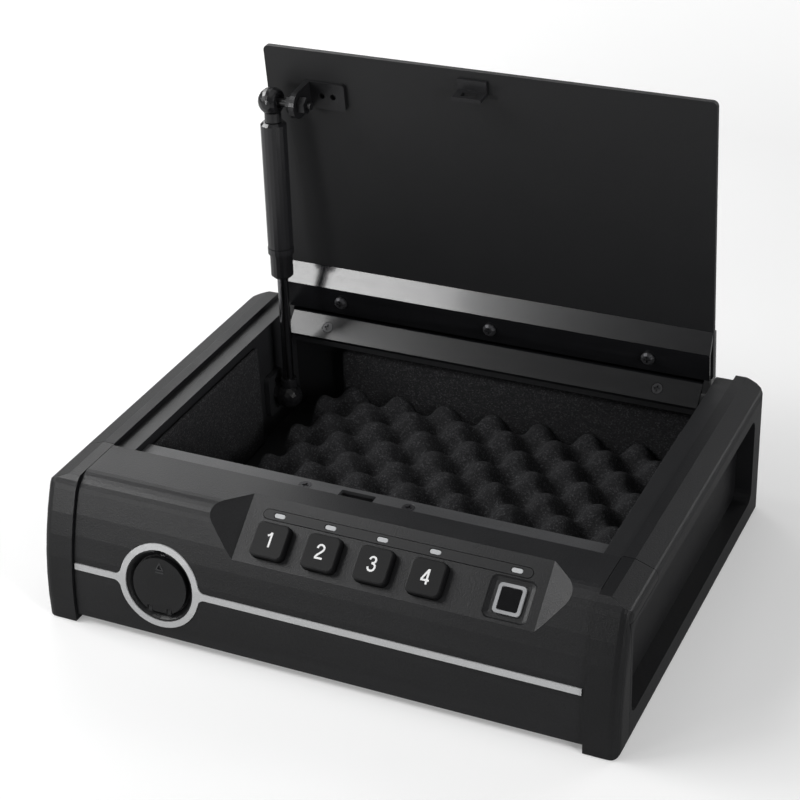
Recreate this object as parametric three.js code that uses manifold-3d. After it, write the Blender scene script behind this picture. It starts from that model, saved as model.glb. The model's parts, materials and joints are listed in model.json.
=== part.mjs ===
// Portable steel safe with a moulded front, a lid on a long rear hinge, one gas strut,
// a keypad panel, a key lock under a round cover and foam lining.
// Millimetres, +Z up, front towards -Y. Sizes are written in a working frame whose origin is
// the middle of the front moulding's top rear edge, dropped to its bottom edge.

import * as THREE from 'three';
import { mergeVertices } from 'three/addons/utils/BufferGeometryUtils.js';
import Module from 'manifold-3d';

const wasm = await Module();
wasm.setup();

// Gaps and tools
const seatGap = 0.3;
const overrun = 6;
const arcSteps = 6;
const cornerSteps = 2;
const roundSides = 10;
const smallSides = 6;
const wideSides = 24;
const ballSides = 18;
const strutSides = 20;
const ringSteps = 10;
const hexSides = 6;
const halfTurnDeg = 180;
const drillReach = 24;

// Shares of a size that a small form takes
const leastRadiusShare = 0.2;
const slotHalfShare = 0.33;
const slotArmShare = 1.1;
const endEaseShare = 0.1;
const neckRootShare = 0.8;
const crownShare = 0.67;
const shankRootShare = 0.33;
const thirdShare = 0.33;

// Case outline
const bodyHalfWidth = 152;
const tubRear = 179.9;
const deckTop = 71.7;
const footDrop = 3.5;
const mouldWall = 2.5;

// Front moulding section: a large face arc that meets a small top corner arc
const faceRadius = 155;
const faceFrontY = -48.4;
const faceCentreY = faceFrontY + faceRadius;
const faceCentreZ = 1;
const topCornerRadius = 12;
const capWidth = 17.4;
const fasciaHalfWidth = bodyHalfWidth - capWidth;
const fasciaFlangeBottom = 63;
const fasciaLipDepth = 6;

// Corner caps and side rails
const capProud = 1.8;
const capCornerRadius = 5;
const capRear = 1;
const railWidth = 25.4;
const railInner = bodyHalfWidth - railWidth;
const railTopWidth = 16.9;
const railTopInner = bodyHalfWidth - railTopWidth;
const shoulderWidth = 11;
const shoulderStart = bodyHalfWidth - shoulderWidth;
const shoulderDrop = 2.7;
const shoulderRadius = 4;
const footRadius = 3;
const railTopWall = 2.7;
const railShelf = 62.5;
const railFrontGap = 0.68;
const railFront = facePoint(railShelf) + railFrontGap;
const rearCornerRadius = 9;
const pocketRim = 2.5;
const pocketRearWall = 19.9;
const pocketRear = tubRear - pocketRearWall;
const pocketBottom = 10;
const pocketDepth = 9;
const pocketRadius = 6;

// Steel tub
const sheet = 1.5;
const tubInner = railInner - seatGap - sheet;
const rimTop = 68.7;
const rimTuck = 3.9;
const rimReach = railTopInner + rimTuck;
const tubFront = 0.6;
const tubFloorBottom = 0.3;
const rearWallTop = 60;
const trayFront = -42;
const anchorHoleRadius = 3.25;
const anchorX = 88;
const anchorFrontY = 40;
const anchorFromRear = 31.9;
const anchorRearY = tubRear - anchorFromRear;

// Front bulkhead and latch strip
const bulkheadFront = 14.7;
const stripTop = 65.4;
const stripThickness = 1.8;
const stripRear = 16.4;
const stripEndGap = 0.4;
const slotLeft = -13.2;
const slotRight = 5.3;
const slotFront = 4;
const slotRear = 13.6;
const stripScrewXs = [-32, 23.6];
const stripScrewY = 10.8;
const stripScrewHead = 3.2;
const stripScrewShank = 1.6;
const stripScrewSink = 1.4;
const stripScrewLength = 7;

// Keypad panel: a slanted flat cut into the front's top edge
const panelTopY = -13.7;
const panelSlopeDeg = 39;
const panelLeftShare = -0.34547;
const panelLeft = fasciaHalfWidth * panelLeftShare;
const panelRightShare = 0.80238;
const panelRight = fasciaHalfWidth * panelRightShare;
const panelFlare = 1.62;
const keySize = 17.5;
const keyRadius = 3;
const keyBevel = 0.8;
const keyProud = 4;
const keyFirstShare = -0.2162;
const keyFirstX = fasciaHalfWidth * keyFirstShare;
const keyPitchShare = 0.20097;
const keyPitch = fasciaHalfWidth * keyPitchShare;
const keyCount = 4;
const keyRun = 21.8;
const keyFlange = 1.5;
const keyFlangeThickness = 1;
const keyTravel = 1.2;
const barLeftShare = -0.2838;
const barLeft = fasciaHalfWidth * barLeftShare;
const barRightShare = 0.74146;
const barRight = fasciaHalfWidth * barRightShare;
const barWidth = 4.8;
const barRun = 8.3;
const barThickness = 1;
const barProud = 0.2;
const lensLength = 5.6;
const lensWidth = 2.2;
const lensShift = 0.6;
const sensorLensShare = 0.68425;
const sensorLensX = fasciaHalfWidth * sensorLensShare;
const pipeWidth = 4.4;
const pipeThickness = 2.2;
const sensorShare = 0.68648;
const sensorX = fasciaHalfWidth * sensorShare;
const sensorRun = 22.2;
const bezelWidth = 13.5;
const bezelHeight = 14.5;
const bezelWall = 1.6;
const bezelRadius = 2;
const bezelLedge = 1.1;
const bezelFlange = 1.6;
const bezelFlangeThickness = 1;
const bezelInset = 0.2;
const glassThickness = 1.6;
const glassInset = 0.6;
const guideWidth = 22.5;
const guideHeight = 21;
const guideDepth = 1.2;
const guideTaper = 2.6;
const guideCorner = 0.8;
const boardThickness = 1.6;
const boardTopRun = 3;
const boardBottomRun = 29.5;
const boardMargin = 5;
const boardHoleRadius = 1.3;
const boardPostRadius = 2.5;
const switchSize = 6;
const diodeSize = 3;

// Silver stripe, ring and key cover on the face
const lockFromEnd = 48.9;
const lockX = lockFromEnd - fasciaHalfWidth;
const lockZ = 27.8;
const stripeLeftGap = 0.6;
const stripeLeft = stripeLeftGap - fasciaHalfWidth;
const stripeRightGap = 1.6;
const stripeRight = fasciaHalfWidth - stripeRightGap;
const stripeHalfHeight = 1.65;
const stripeProud = 0.5;
const stripeDepth = 1.3;
const ringOuter = 22.2;
const ringInner = 19;
const stripeFillet = 4;
const dishRadius = 18.4;
const dishFloorRadius = 15.6;
const dishDepth = 3.4;
const dishEdge = 0.6;
const cupWall = 2.5;
const cupDepth = 8;
const coverRadius = 14.9;
const coverThickness = 2.5;
const coverTop = -0.4;
const coverAxisDrop = 13.2;
const coverBarrelHalf = 4;
const coverPinRadius = 0.7;
const coverPinHalf = 6;
const coverTabHalf = 6.9;
const coverTabTop = 11.4;
const coverLugHalf = 6.4;
const coverMarkSize = 2.6;
const coverMarkDepth = 0.5;
const coverMarkY = 10.4;
const notchRadius = 4.2;
const notchY = 15.6;
const lockBodyRadius = 8.8;
const lockLength = 24;
const plugRadius = 5;
const plugInset = 0.4;
const keyholeLength = 6.4;
const keyholeWidth = 1.4;
const keyholeDepth = 14;
const camThickness = 2;
const camHubRadius = 5.5;
const camTipRadius = 3;
const camReach = 14;

// Latch in the front compartment
const boltLeft = -7;
const boltRight = -1;
const boltBottom = 58.6;
const boltTop = 61;
const boltTip = 9.4;
const boltArmFront = -6;
const boltArmThickness = 3;
const boltArmBottom = 29.5;
const frameWallFront = 4.8;
const frameLeft = -16;
const frameRight = 8;
const frameTop = 61.5;
const solenoidLeft = -12;
const solenoidRight = 4;
const solenoidFront = -34;
const solenoidLength = 22;
const solenoidBottom = 26;
const solenoidHeight = 16;
const solenoidBoreDepth = 16;
const plungerRadius = 2.7;
const plungerInside = 9;

// Battery box over its opening in the floor
const batteryFromEnd = 76.6;
const batteryLeft = fasciaHalfWidth - batteryFromEnd;
const batteryLength = 57;
const batteryFront = -35;
const batteryDepth = 34;
const batteryHeight = 32;
const batteryWall = 2;
const batteryCorner = 3;
const coverScrewRadius = 1.5;
const coverScrewHead = 2.7;
const coverScrewBoss = 3.2;
const coverScrewLength = 7;

// Foam lining
const foamLeftGap = 26.8;
const foamLeft = foamLeftGap - tubInner;
const foamPeak = 27.5;
const foamValley = 16.5;
const foamPeriodX = 28.5;
const foamPeriodY = 34;
const foamStepsPerPeriod = 4;
const sideFoam = 3;
const sideFoamTop = 64.6;
const leftFoamGap = 49.9;
const leftFoamRear = tubRear - leftFoamGap;
const foamHingeRelief = 14;
const rearFoam = 8;
const rearFoamTop = 46.4;
const rearFoamInset = 6;
const rearFoamLeft = foamLeft + rearFoamInset;

// Rear hinge
const hingeFromRear = 9.2;
const hingeY = tubRear - hingeFromRear;
const hingeZ = 58;
const openDeg = 84.72;
const fixedRadius = 10.3;
const coreFront = 4.8;
const coreRear = tubRear - sheet - seatGap - hingeY;
const coreBottom = 6.5;
const coreTop = 4;
const coverRailGap = 4.5;
const coverRailHalf = tubInner - coverRailGap;
const coverRailThickness = 3;
const noseDrop = 0.95;
const noseLean = 0.2;
const coverScrewFromEnd = 23.3;
const coverScrewX = coverRailHalf - coverScrewFromEnd;
const coverRailScrewHead = 3;
const coverRailScrewShank = 1.5;
const coverRailScrewSink = 1.3;
const coverRailScrewLength = 7;
const hingePinRadius = 2.5;
const hingePinFromEnd = 18.3;
const hingePinInner = coverRailHalf - hingePinFromEnd;
const pinFit = 0.1;

// Lid
const lidGap = 1.2;
const lidHalfWidth = tubInner - lidGap;
const lidRear = 10.5;
const lidFrontGap = 0.5;
const lidFront = hingeY - lidFrontGap;
const lidUnder = 7.7;
const lidThickness = 2.7;
const lidCornerRadius = 2.8;
const lidRailInset = 0.2;
const lidRailHalf = lidHalfWidth - lidRailInset;
const armThickness = 2.8;
const armRadius = tubRear - sheet - seatGap - hingeY;
const railBack = 9;
const railThickness = 2.7;
const railFrontEdge = 37.3;
const railChamfer = 0.8;
const railWebOuter = 7.9;
const railHookTip = 39;
const railHookRoot = 28;
const railStripTop = 1.9;
const railStripThickness = 1.6;
const railStripRear = 12.2;
const lidScrewFromEnd = 33.4;
const lidScrewX = lidRailHalf - lidScrewFromEnd;
const lidScrewXs = [-lidScrewX, 0, lidScrewX];
const lidScrewU = 20;
const lidScrewHead = 3.75;
const lidScrewHeadHeight = 2.2;
const lidScrewShank = 1.8;
const lidScrewClearance = 0.3;

// Striker under the lid
const strikerLeft = -12;
const strikerRight = 4;
const strikerRearY = 12.7;
const strikerRear = hingeY - strikerRearY;
const strikerFrontY = 4.7;
const strikerFront = hingeY - strikerFrontY;
const strikerSheet = 1.5;
const strikerLegThickness = 2;
const strikerBottom = -2.2;
const windowSide = 1;
const windowAbove = 0.6;

// Gas strut
const strutFromWall = 11.3;
const strutX = strutFromWall - tubInner;
const strutFromHinge = 24.7;
const strutLowerY = hingeY - strutFromHinge;
const strutLowerZ = 27;
const strutUpperU = 146.1;
const strutUpperV = -7;
const ballRadius = 5;
const ballFit = 0.3;
const studNeckRadius = 2.4;
const hexAcross = 9;
const hexThickness = 3;
const socketRadius = 7.5;
const socketFlat = 4.2;
const socketNeckRadius = 4.5;
const socketLength = 11;
const tubeRadius = 7;
const tubeLength = 72;
const tubeEnd = 8;
const glandLength = 18;
const glandRadius = 6.2;
const glandCollar = 7.2;
const glandCollarLength = 3.5;
const rodRadius = 3;
const rodFit = 0.15;
const rodSpare = 2;
const bracketSheet = 3;
const lowerBracketWidth = 18;
const lowerBracketHeight = 25;
const upperBracketWidth = 15;
const upperBracketLeg = 7.5;
const upperBracketFoot = 20;
const upperLegOffset = 16.5;
const upperLegX = strutX + upperLegOffset;
const nutAcross = 8;
const nutThickness = 4;
const shankRadius = 2;
const shankSpare = 2.5;
const bracketScrewRadius = 1.7;

// Finishes
const paints = {
  moulding: { color: 0x2b2c2f, roughness: 0.55, metalness: 0.1 },
  rail: { color: 0x242528, roughness: 0.6, metalness: 0.05 },
  steel: { color: 0x35363a, roughness: 0.5, metalness: 0.4 },
  gloss: { color: 0x1d1e21, roughness: 0.25, metalness: 0.3 },
  silver: { color: 0xb9bcc0, roughness: 0.35, metalness: 0.8 },
  chrome: { color: 0xd8dadd, roughness: 0.15, metalness: 1 },
  zinc: { color: 0x9a9ca0, roughness: 0.4, metalness: 0.9 },
  black: { color: 0x141416, roughness: 0.45, metalness: 0.1 },
  glass: { color: 0x0a0b0d, roughness: 0.08, metalness: 0 },
  lamp: { color: 0xe9edf2, roughness: 0.4, metalness: 0 },
  board: { color: 0x1f4a2e, roughness: 0.6, metalness: 0 },
  foam: { color: 0x2e2f31, roughness: 0.95, metalness: 0 },
};

// Solids from geometries and back

const weld = 1e-4;

function solid(geometry) {
  const bare = geometry.index ? geometry.toNonIndexed() : geometry.clone();
  bare.deleteAttribute('normal');
  bare.deleteAttribute('uv');
  const merged = mergeVertices(bare, weld);
  const corners = merged.index.array;
  const kept = [];
  for (let i = 0; i < corners.length; i += 3) {
    const [a, b, c] = [corners[i], corners[i + 1], corners[i + 2]];
    if (a !== b && b !== c && c !== a) kept.push(a, b, c);
  }
  return new wasm.Manifold(new wasm.Mesh({
    numProp: 3,
    vertProperties: new Float32Array(merged.attributes.position.array),
    triVerts: new Uint32Array(kept),
  }));
}

function geometryOf(shape) {
  const mesh = shape.getMesh();
  const geometry = new THREE.BufferGeometry();
  geometry.setAttribute('position', new THREE.BufferAttribute(new Float32Array(mesh.vertProperties), 3));
  geometry.setIndex(new THREE.BufferAttribute(new Uint32Array(mesh.triVerts), 1));
  const flat = geometry.toNonIndexed();
  flat.computeVertexNormals();
  return flat;
}

function cut(base, ...tools) {
  return tools.reduce((shape, tool) => shape.subtract(tool), base);
}

function join(...shapes) {
  return shapes.reduce((shape, other) => shape.add(other));
}

// Basic forms

const axisX = new THREE.Vector3(1, 0, 0);
const axisY = new THREE.Vector3(0, 1, 0);
const axisZ = new THREE.Vector3(0, 0, 1);
const turns = {
  x: new THREE.Matrix4().makeBasis(axisY, axisZ, axisX),
  y: new THREE.Matrix4().makeBasis(axisX, axisZ, axisY.clone().negate()),
  z: new THREE.Matrix4(),
};

// An outline run along an axis: (y, z) outlines along x, (x, z) along y and (x, y) along z
function prismShape(axis, outline, from, to, steps = cornerSteps) {
  const geometry = new THREE.ExtrudeGeometry(outline, {
    depth: to - from, bevelEnabled: false, curveSegments: steps,
  });
  geometry.translate(0, 0, axis === 'y' ? -to : from);
  return geometry.applyMatrix4(turns[axis]);
}

function prism(axis, outline, from, to, steps) {
  return solid(prismShape(axis, outline, from, to, steps));
}

function polygon(points) {
  return new THREE.Shape(points.map(([a, b]) => new THREE.Vector2(a, b)));
}

function block(x0, x1, y0, y1, z0, z1) {
  return prism('z', polygon([[x0, y0], [x1, y0], [x1, y1], [x0, y1]]), z0, z1);
}

function disc(a, b, radius) {
  return new THREE.Shape().absarc(a, b, radius, 0, 2 * Math.PI, false);
}

function bar(axis, a, b, radius, from, to, sides = roundSides) {
  return prism(axis, disc(a, b, radius), from, to, sides);
}

function rounded(a0, a1, b0, b1, radius) {
  const quarter = Math.PI / 2;
  return new THREE.Shape()
    .moveTo(a0 + radius, b0)
    .absarc(a1 - radius, b0 + radius, radius, -quarter, 0, false)
    .absarc(a1 - radius, b1 - radius, radius, 0, quarter, false)
    .absarc(a0 + radius, b1 - radius, radius, quarter, 2 * quarter, false)
    .absarc(a0 + radius, b0 + radius, radius, 2 * quarter, 3 * quarter, false);
}

function centred(a, b, width, height, radius) {
  return rounded(a - width / 2, a + width / 2, b - height / 2, b + height / 2, radius);
}

function turned(points, sides = roundSides) {
  const geometry = new THREE.LatheGeometry(points.map(([r, h]) => new THREE.Vector2(r, h)), sides);
  return geometry.rotateX(Math.PI / 2);
}

function hexagon(a, b, across) {
  const corner = across / Math.sqrt(3);
  return polygon([...Array(hexSides).keys()].map((i) => {
    const angle = i * 2 * Math.PI / hexSides;
    return [a + corner * Math.cos(angle), b + corner * Math.sin(angle)];
  }));
}

function mirrored(shape) {
  return shape.mirror([1, 0, 0]);
}

// A countersunk screw along z with its flat head at height zero
function flatScrew(head, shank, sink, length, slotShare = slotArmShare) {
  const body = solid(turned([[0, -length], [shank, -length], [shank, -sink], [head, 0], [0, 0]]));
  const arm = head * slotShare / 2;
  const width = shank * slotHalfShare;
  const recess = join(
    block(-arm, arm, -width, width, -sink / 2, overrun),
    block(-width, width, -arm, arm, -sink / 2, overrun),
  );
  return cut(body, recess);
}

function flatScrewSeat(head, shank, sink, length) {
  return turned([
    [0, -length - overrun], [shank + seatGap, -length - overrun], [shank + seatGap, -sink - seatGap],
    [head + seatGap, 0], [head + seatGap, overrun], [0, overrun],
  ]);
}

function moved(geometry, x, y, z) {
  return geometry.clone().translate(x, y, z);
}

// Working frames

function radians(degrees) {
  return THREE.MathUtils.degToRad(degrees);
}

function frameAt(x, y, z, turnX) {
  return new THREE.Matrix4().makeRotationX(turnX).setPosition(x, y, z);
}

function facePoint(z, grow = 0) {
  return faceCentreY - Math.sqrt((faceRadius + grow) ** 2 - (z - faceCentreZ) ** 2);
}

const panelFrame = frameAt(0, panelTopY, deckTop, radians(panelSlopeDeg));
const faceLean = Math.asin((lockZ - faceCentreZ) / faceRadius);
const lockFrame = frameAt(lockX, facePoint(lockZ), lockZ, Math.PI / 2 - faceLean);

function inFrame(shape, frame) {
  return shape.transform(frame.toArray());
}

// Sections of the case

// The front's side section, grown outwards, down to a bottom level and back to a rear edge
function frontPoints(grow, bottom, rear) {
  const reach = faceRadius - topCornerRadius;
  const cornerZ = deckTop - topCornerRadius;
  const cornerY = faceCentreY - Math.sqrt(reach ** 2 - (cornerZ - faceCentreZ) ** 2);
  const meet = Math.PI - Math.asin((cornerZ - faceCentreZ) / reach);
  const end = Math.PI + Math.asin((faceCentreZ - bottom) / (faceRadius + grow));
  const points = [[rear, bottom], [rear, deckTop + grow]];
  const along = (share, from, to) => from + share * (to - from);
  for (let i = 0; i <= arcSteps; i += 1) {
    const angle = along(i / arcSteps, Math.PI / 2, meet);
    const radius = topCornerRadius + grow;
    points.push([cornerY + radius * Math.cos(angle), cornerZ + radius * Math.sin(angle)]);
  }
  for (let i = 1; i <= arcSteps; i += 1) {
    const angle = along(i / arcSteps, meet, end);
    const radius = faceRadius + grow;
    points.push([faceCentreY + radius * Math.cos(angle), faceCentreZ + radius * Math.sin(angle)]);
  }
  return points;
}

function frontOutline(grow, bottom, rear) {
  return polygon(frontPoints(grow, bottom, rear));
}

// The section of rails and caps, drawn in by a wall
function sideOutline(inset, inner, topInset) {
  const out = bodyHalfWidth - inset;
  const top = deckTop - topInset;
  const low = inset - footDrop;
  const foot = Math.max(footRadius - inset, footRadius * leastRadiusShare);
  const shoulder = Math.max(shoulderRadius - inset, shoulderRadius * leastRadiusShare);
  const shoulderTop = top - shoulderDrop;
  return new THREE.Shape()
    .moveTo(inner, low)
    .lineTo(out - foot, low)
    .absarc(out - foot, low + foot, foot, -Math.PI / 2, 0, false)
    .absarc(out - shoulder, shoulderTop - shoulder, shoulder, 0, Math.PI / 3, false)
    .lineTo(shoulderStart - inset / 2, top)
    .lineTo(inner, top);
}

// A convex (y, z) ring carried along x, with its own ring at each place
function loft(places, ringAt) {
  const rings = places.map((x) => ringAt(x).map(([y, z]) => [x, y, z]));
  const count = rings[0].length;
  const positions = rings.flat(2);
  const faces = [];
  for (let i = 1; i < count - 1; i += 1) {
    const last = (rings.length - 1) * count;
    faces.push(0, i + 1, i, last, last + i, last + i + 1);
  }
  for (let r = 0; r < rings.length - 1; r += 1) {
    for (let i = 0; i < count; i += 1) {
      const a = r * count + i;
      const b = r * count + (i + 1) % count;
      faces.push(a, b, b + count, a, b + count, a + count);
    }
  }
  const geometry = new THREE.BufferGeometry();
  geometry.setAttribute('position', new THREE.Float32BufferAttribute(positions, 3));
  geometry.setIndex(faces);
  return solid(geometry);
}

// Case pieces

function makeTub() {
  const outer = tubInner + sheet;
  const rimBottom = rimTop - sheet;
  const wall = polygon([
    [-outer, tubFloorBottom], [outer, tubFloorBottom], [outer, rimBottom], [rimReach, rimBottom],
    [rimReach, rimTop], [tubInner, rimTop], [tubInner, tubFloorBottom + sheet],
    [-tubInner, tubFloorBottom + sheet], [-tubInner, rimTop], [-rimReach, rimTop],
    [-rimReach, rimBottom], [-outer, rimBottom],
  ]);
  const trough = prism('y', wall, tubFront, tubRear);
  const rear = block(-outer, outer, tubRear - sheet, tubRear, tubFloorBottom, rearWallTop);
  const tray = block(-outer, outer, trayFront, tubFront + sheet, tubFloorBottom, tubFloorBottom + sheet);
  const holes = [-anchorX, anchorX].flatMap((x) => [anchorFrontY, anchorRearY].map((y) =>
    bar('z', x, y, anchorHoleRadius, -overrun, overrun)));
  const battery = prism('z', rounded(
    batteryLeft, batteryLeft + batteryLength, batteryFront, batteryFront + batteryDepth, batteryCorner,
  ), -overrun, overrun);
  return cut(join(trough, rear, tray), battery, ...holes);
}

function makeBulkhead() {
  const halfWidth = tubInner - seatGap;
  const top = stripTop - stripThickness - seatGap;
  const bottom = tubFloorBottom + sheet + seatGap;
  const section = polygon([
    [bulkheadFront, bottom], [bulkheadFront + sheet, bottom], [bulkheadFront + sheet, top],
    [tubFront, top], [tubFront, top - sheet], [bulkheadFront, top - sheet],
  ]);
  const slot = block(slotLeft, slotRight, slotFront, slotRear, boltTop, stripTop);
  const screwHoles = stripScrewXs.map((x) =>
    bar('z', x, stripScrewY, stripScrewShank + seatGap, stripScrewSink + boltBottom, stripTop));
  return cut(prism('x', section, -halfWidth, halfWidth), slot, ...screwHoles);
}

function makeLatchStrip() {
  const halfWidth = tubInner - stripEndGap;
  const strip = block(-halfWidth, halfWidth, tubFront, stripRear, stripTop - stripThickness, stripTop);
  const slotOutline = rounded(slotLeft, slotRight, slotFront, slotRear, sheet / 2);
  const slot = prism('z', slotOutline, boltTop, stripTop + overrun);
  const seat = () => flatScrewSeat(stripScrewHead, stripScrewShank, stripScrewSink, stripScrewLength);
  const seats = stripScrewXs.map((x) => solid(moved(seat(), x, stripScrewY, stripTop)));
  return cut(strip, slot, ...seats);
}

function capRing(wall, bottom, rear) {
  const radius = capCornerRadius;
  const start = bodyHalfWidth - radius;
  return (x) => {
    const past = Math.min(Math.max(x - start + wall, 0), radius);
    return frontPoints(capProud - wall - radius + Math.sqrt(radius ** 2 - past ** 2), bottom, rear);
  };
}

function capPlaces(from, wall) {
  const start = bodyHalfWidth - capCornerRadius - wall;
  const places = [from];
  for (let i = 0; i <= arcSteps; i += 1) {
    places.push(start + capCornerRadius * Math.sin(i / arcSteps * Math.PI / 2));
  }
  return places;
}

function makeCap() {
  const inner = fasciaHalfWidth + seatGap;
  const front = faceFrontY - overrun;
  const outside = loft(capPlaces(inner, 0), capRing(0, -footDrop, capRear))
    .intersect(prism('y', sideOutline(0, inner, 0), front, capRear));
  const open = inner - overrun;
  const rear = capRear + overrun;
  const inside = loft(capPlaces(open, mouldWall), capRing(mouldWall, mouldWall - footDrop, rear))
    .intersect(prism('y', sideOutline(mouldWall, open, mouldWall), front, rear));
  const shelf = block(open, bodyHalfWidth + overrun, railFront - seatGap, capRear + overrun,
    -footDrop - overrun, railShelf + seatGap);
  return cut(outside, inside, shelf);
}

function makeRail() {
  const plan = (inset, inner, front) => {
    const radius = rearCornerRadius - inset;
    return new THREE.Shape()
      .moveTo(inner, front)
      .lineTo(bodyHalfWidth - inset, front)
      .absarc(bodyHalfWidth - inset - radius, tubRear - inset - radius, radius, 0, Math.PI / 2, false)
      .lineTo(inner, tubRear - inset);
  };
  const open = railInner - overrun;
  const low = -footDrop - overrun;
  const envelope = loft(capPlaces(open, 0), capRing(0, -footDrop, tubRear + overrun));
  const outside = prism('y', sideOutline(0, railInner, 0), railFront, tubRear)
    .intersect(prism('z', plan(0, railInner, railFront), low, deckTop + overrun))
    .intersect(envelope);
  const channel = prism('y', sideOutline(mouldWall, open, railTopWall), railFront, tubRear)
    .intersect(prism('z', plan(mouldWall, open, railFront + pocketRim), low, deckTop + overrun));
  const seatFront = railFront - overrun;
  const seatRear = tubRear + overrun;
  const seatTop = deckTop - railTopWall;
  const rimSeat = join(
    block(open, railTopInner, seatFront, seatRear, seatTop, deckTop + overrun),
    block(open, rimReach + seatGap, seatFront, seatRear, rimTop - sheet - seatGap, seatTop),
  );
  const capSeat = block(open, bodyHalfWidth + overrun, railFront - overrun, capRear + seatGap,
    railShelf, deckTop + overrun);
  const fasciaSeat = block(open, fasciaHalfWidth + seatGap, railFront - overrun, capRear + seatGap,
    mouldWall - footDrop, deckTop);
  const pocketFront = railFront + pocketRim;
  const pocketTop = railShelf - pocketRim;
  const pocketBack = bodyHalfWidth - pocketDepth;
  const pocket = prism('x', rounded(pocketFront, pocketRear, pocketBottom, pocketTop, pocketRadius),
    pocketBack, bodyHalfWidth + overrun);
  const housing = prism('x', rounded(
    pocketFront - pocketRim, pocketRear + pocketRim, pocketBottom - pocketRim, pocketTop + pocketRim,
    pocketRadius + pocketRim,
  ), pocketBack - pocketRim, bodyHalfWidth + overrun);
  return cut(outside, cut(channel, housing), rimSeat, capSeat, fasciaSeat, pocket);
}

// Front moulding, with the keypad panel's slanted flat, the dished key recess and the stripe's groove

function panelWedge(wall) {
  const top = deckTop;
  const slant = wall * Math.sqrt(1 + panelFlare ** 2);
  const edge = (z) => panelFlare * z + slant;
  const outline = polygon([
    [panelLeft - edge(-wall), -wall], [panelRight + edge(-wall), -wall],
    [panelRight + edge(top), top], [panelLeft - edge(top), top],
  ]);
  return inFrame(prism('y', outline, -top, top), panelFrame);
}

function keyX(i) {
  return keyFirstX + i * keyPitch;
}

const keyNumbers = [...Array(keyCount).keys()];

function lensXs() {
  return [...keyNumbers.map((i) => keyX(i) - lensShift), sensorLensX];
}

function stripeOutline(grow) {
  const half = stripeHalfHeight + grow;
  const ring = ringOuter + grow;
  const fillet = stripeFillet - grow;
  const offset = Math.sqrt((ring + fillet) ** 2 - (half + fillet) ** 2);
  const lean = Math.atan2(half + fillet, offset);
  const left = stripeLeft - lockX - grow;
  const right = stripeRight - lockX + grow;
  const pi = Math.PI;
  return new THREE.Shape()
    .moveTo(left, -half)
    .lineTo(-offset, -half)
    .absarc(-offset, -half - fillet, fillet, pi / 2, lean, true)
    .absarc(0, 0, ring, pi + lean, 2 * pi - lean, false)
    .absarc(offset, -half - fillet, fillet, pi - lean, pi / 2, true)
    .lineTo(right, -half)
    .lineTo(right, half)
    .absarc(offset, half + fillet, fillet, -pi / 2, -pi + lean, true)
    .absarc(0, 0, ring, lean, pi - lean, false)
    .absarc(-offset, half + fillet, fillet, -lean, -pi / 2, true)
    .lineTo(left, half);
}

// The stripe and its ring follow the face between two grown copies of the front's section
function stripeSolid(grow, proud, depth) {
  const outline = stripeOutline(grow);
  const hole = new THREE.Path()
    .absarc(0, 0, ringInner - grow, 0, -Math.PI, true)
    .absarc(0, 0, ringInner - grow, -Math.PI, -2 * Math.PI, true);
  outline.holes.push(hole);
  const tall = ringOuter + overrun;
  const through = inFrame(prism('z', outline, -tall, tall, ringSteps), lockFrame);
  const low = lockZ - tall;
  const high = lockZ + tall;
  const end = bodyHalfWidth;
  const band = block(-end, end, faceFrontY - overrun, 0, low, high);
  const skin = cut(
    prism('x', frontOutline(proud, -overrun, 0), -end, end),
    prism('x', frontOutline(-depth, -2 * overrun, overrun), -end - overrun, end + overrun),
  );
  return through.intersect(skin).intersect(band);
}

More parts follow.
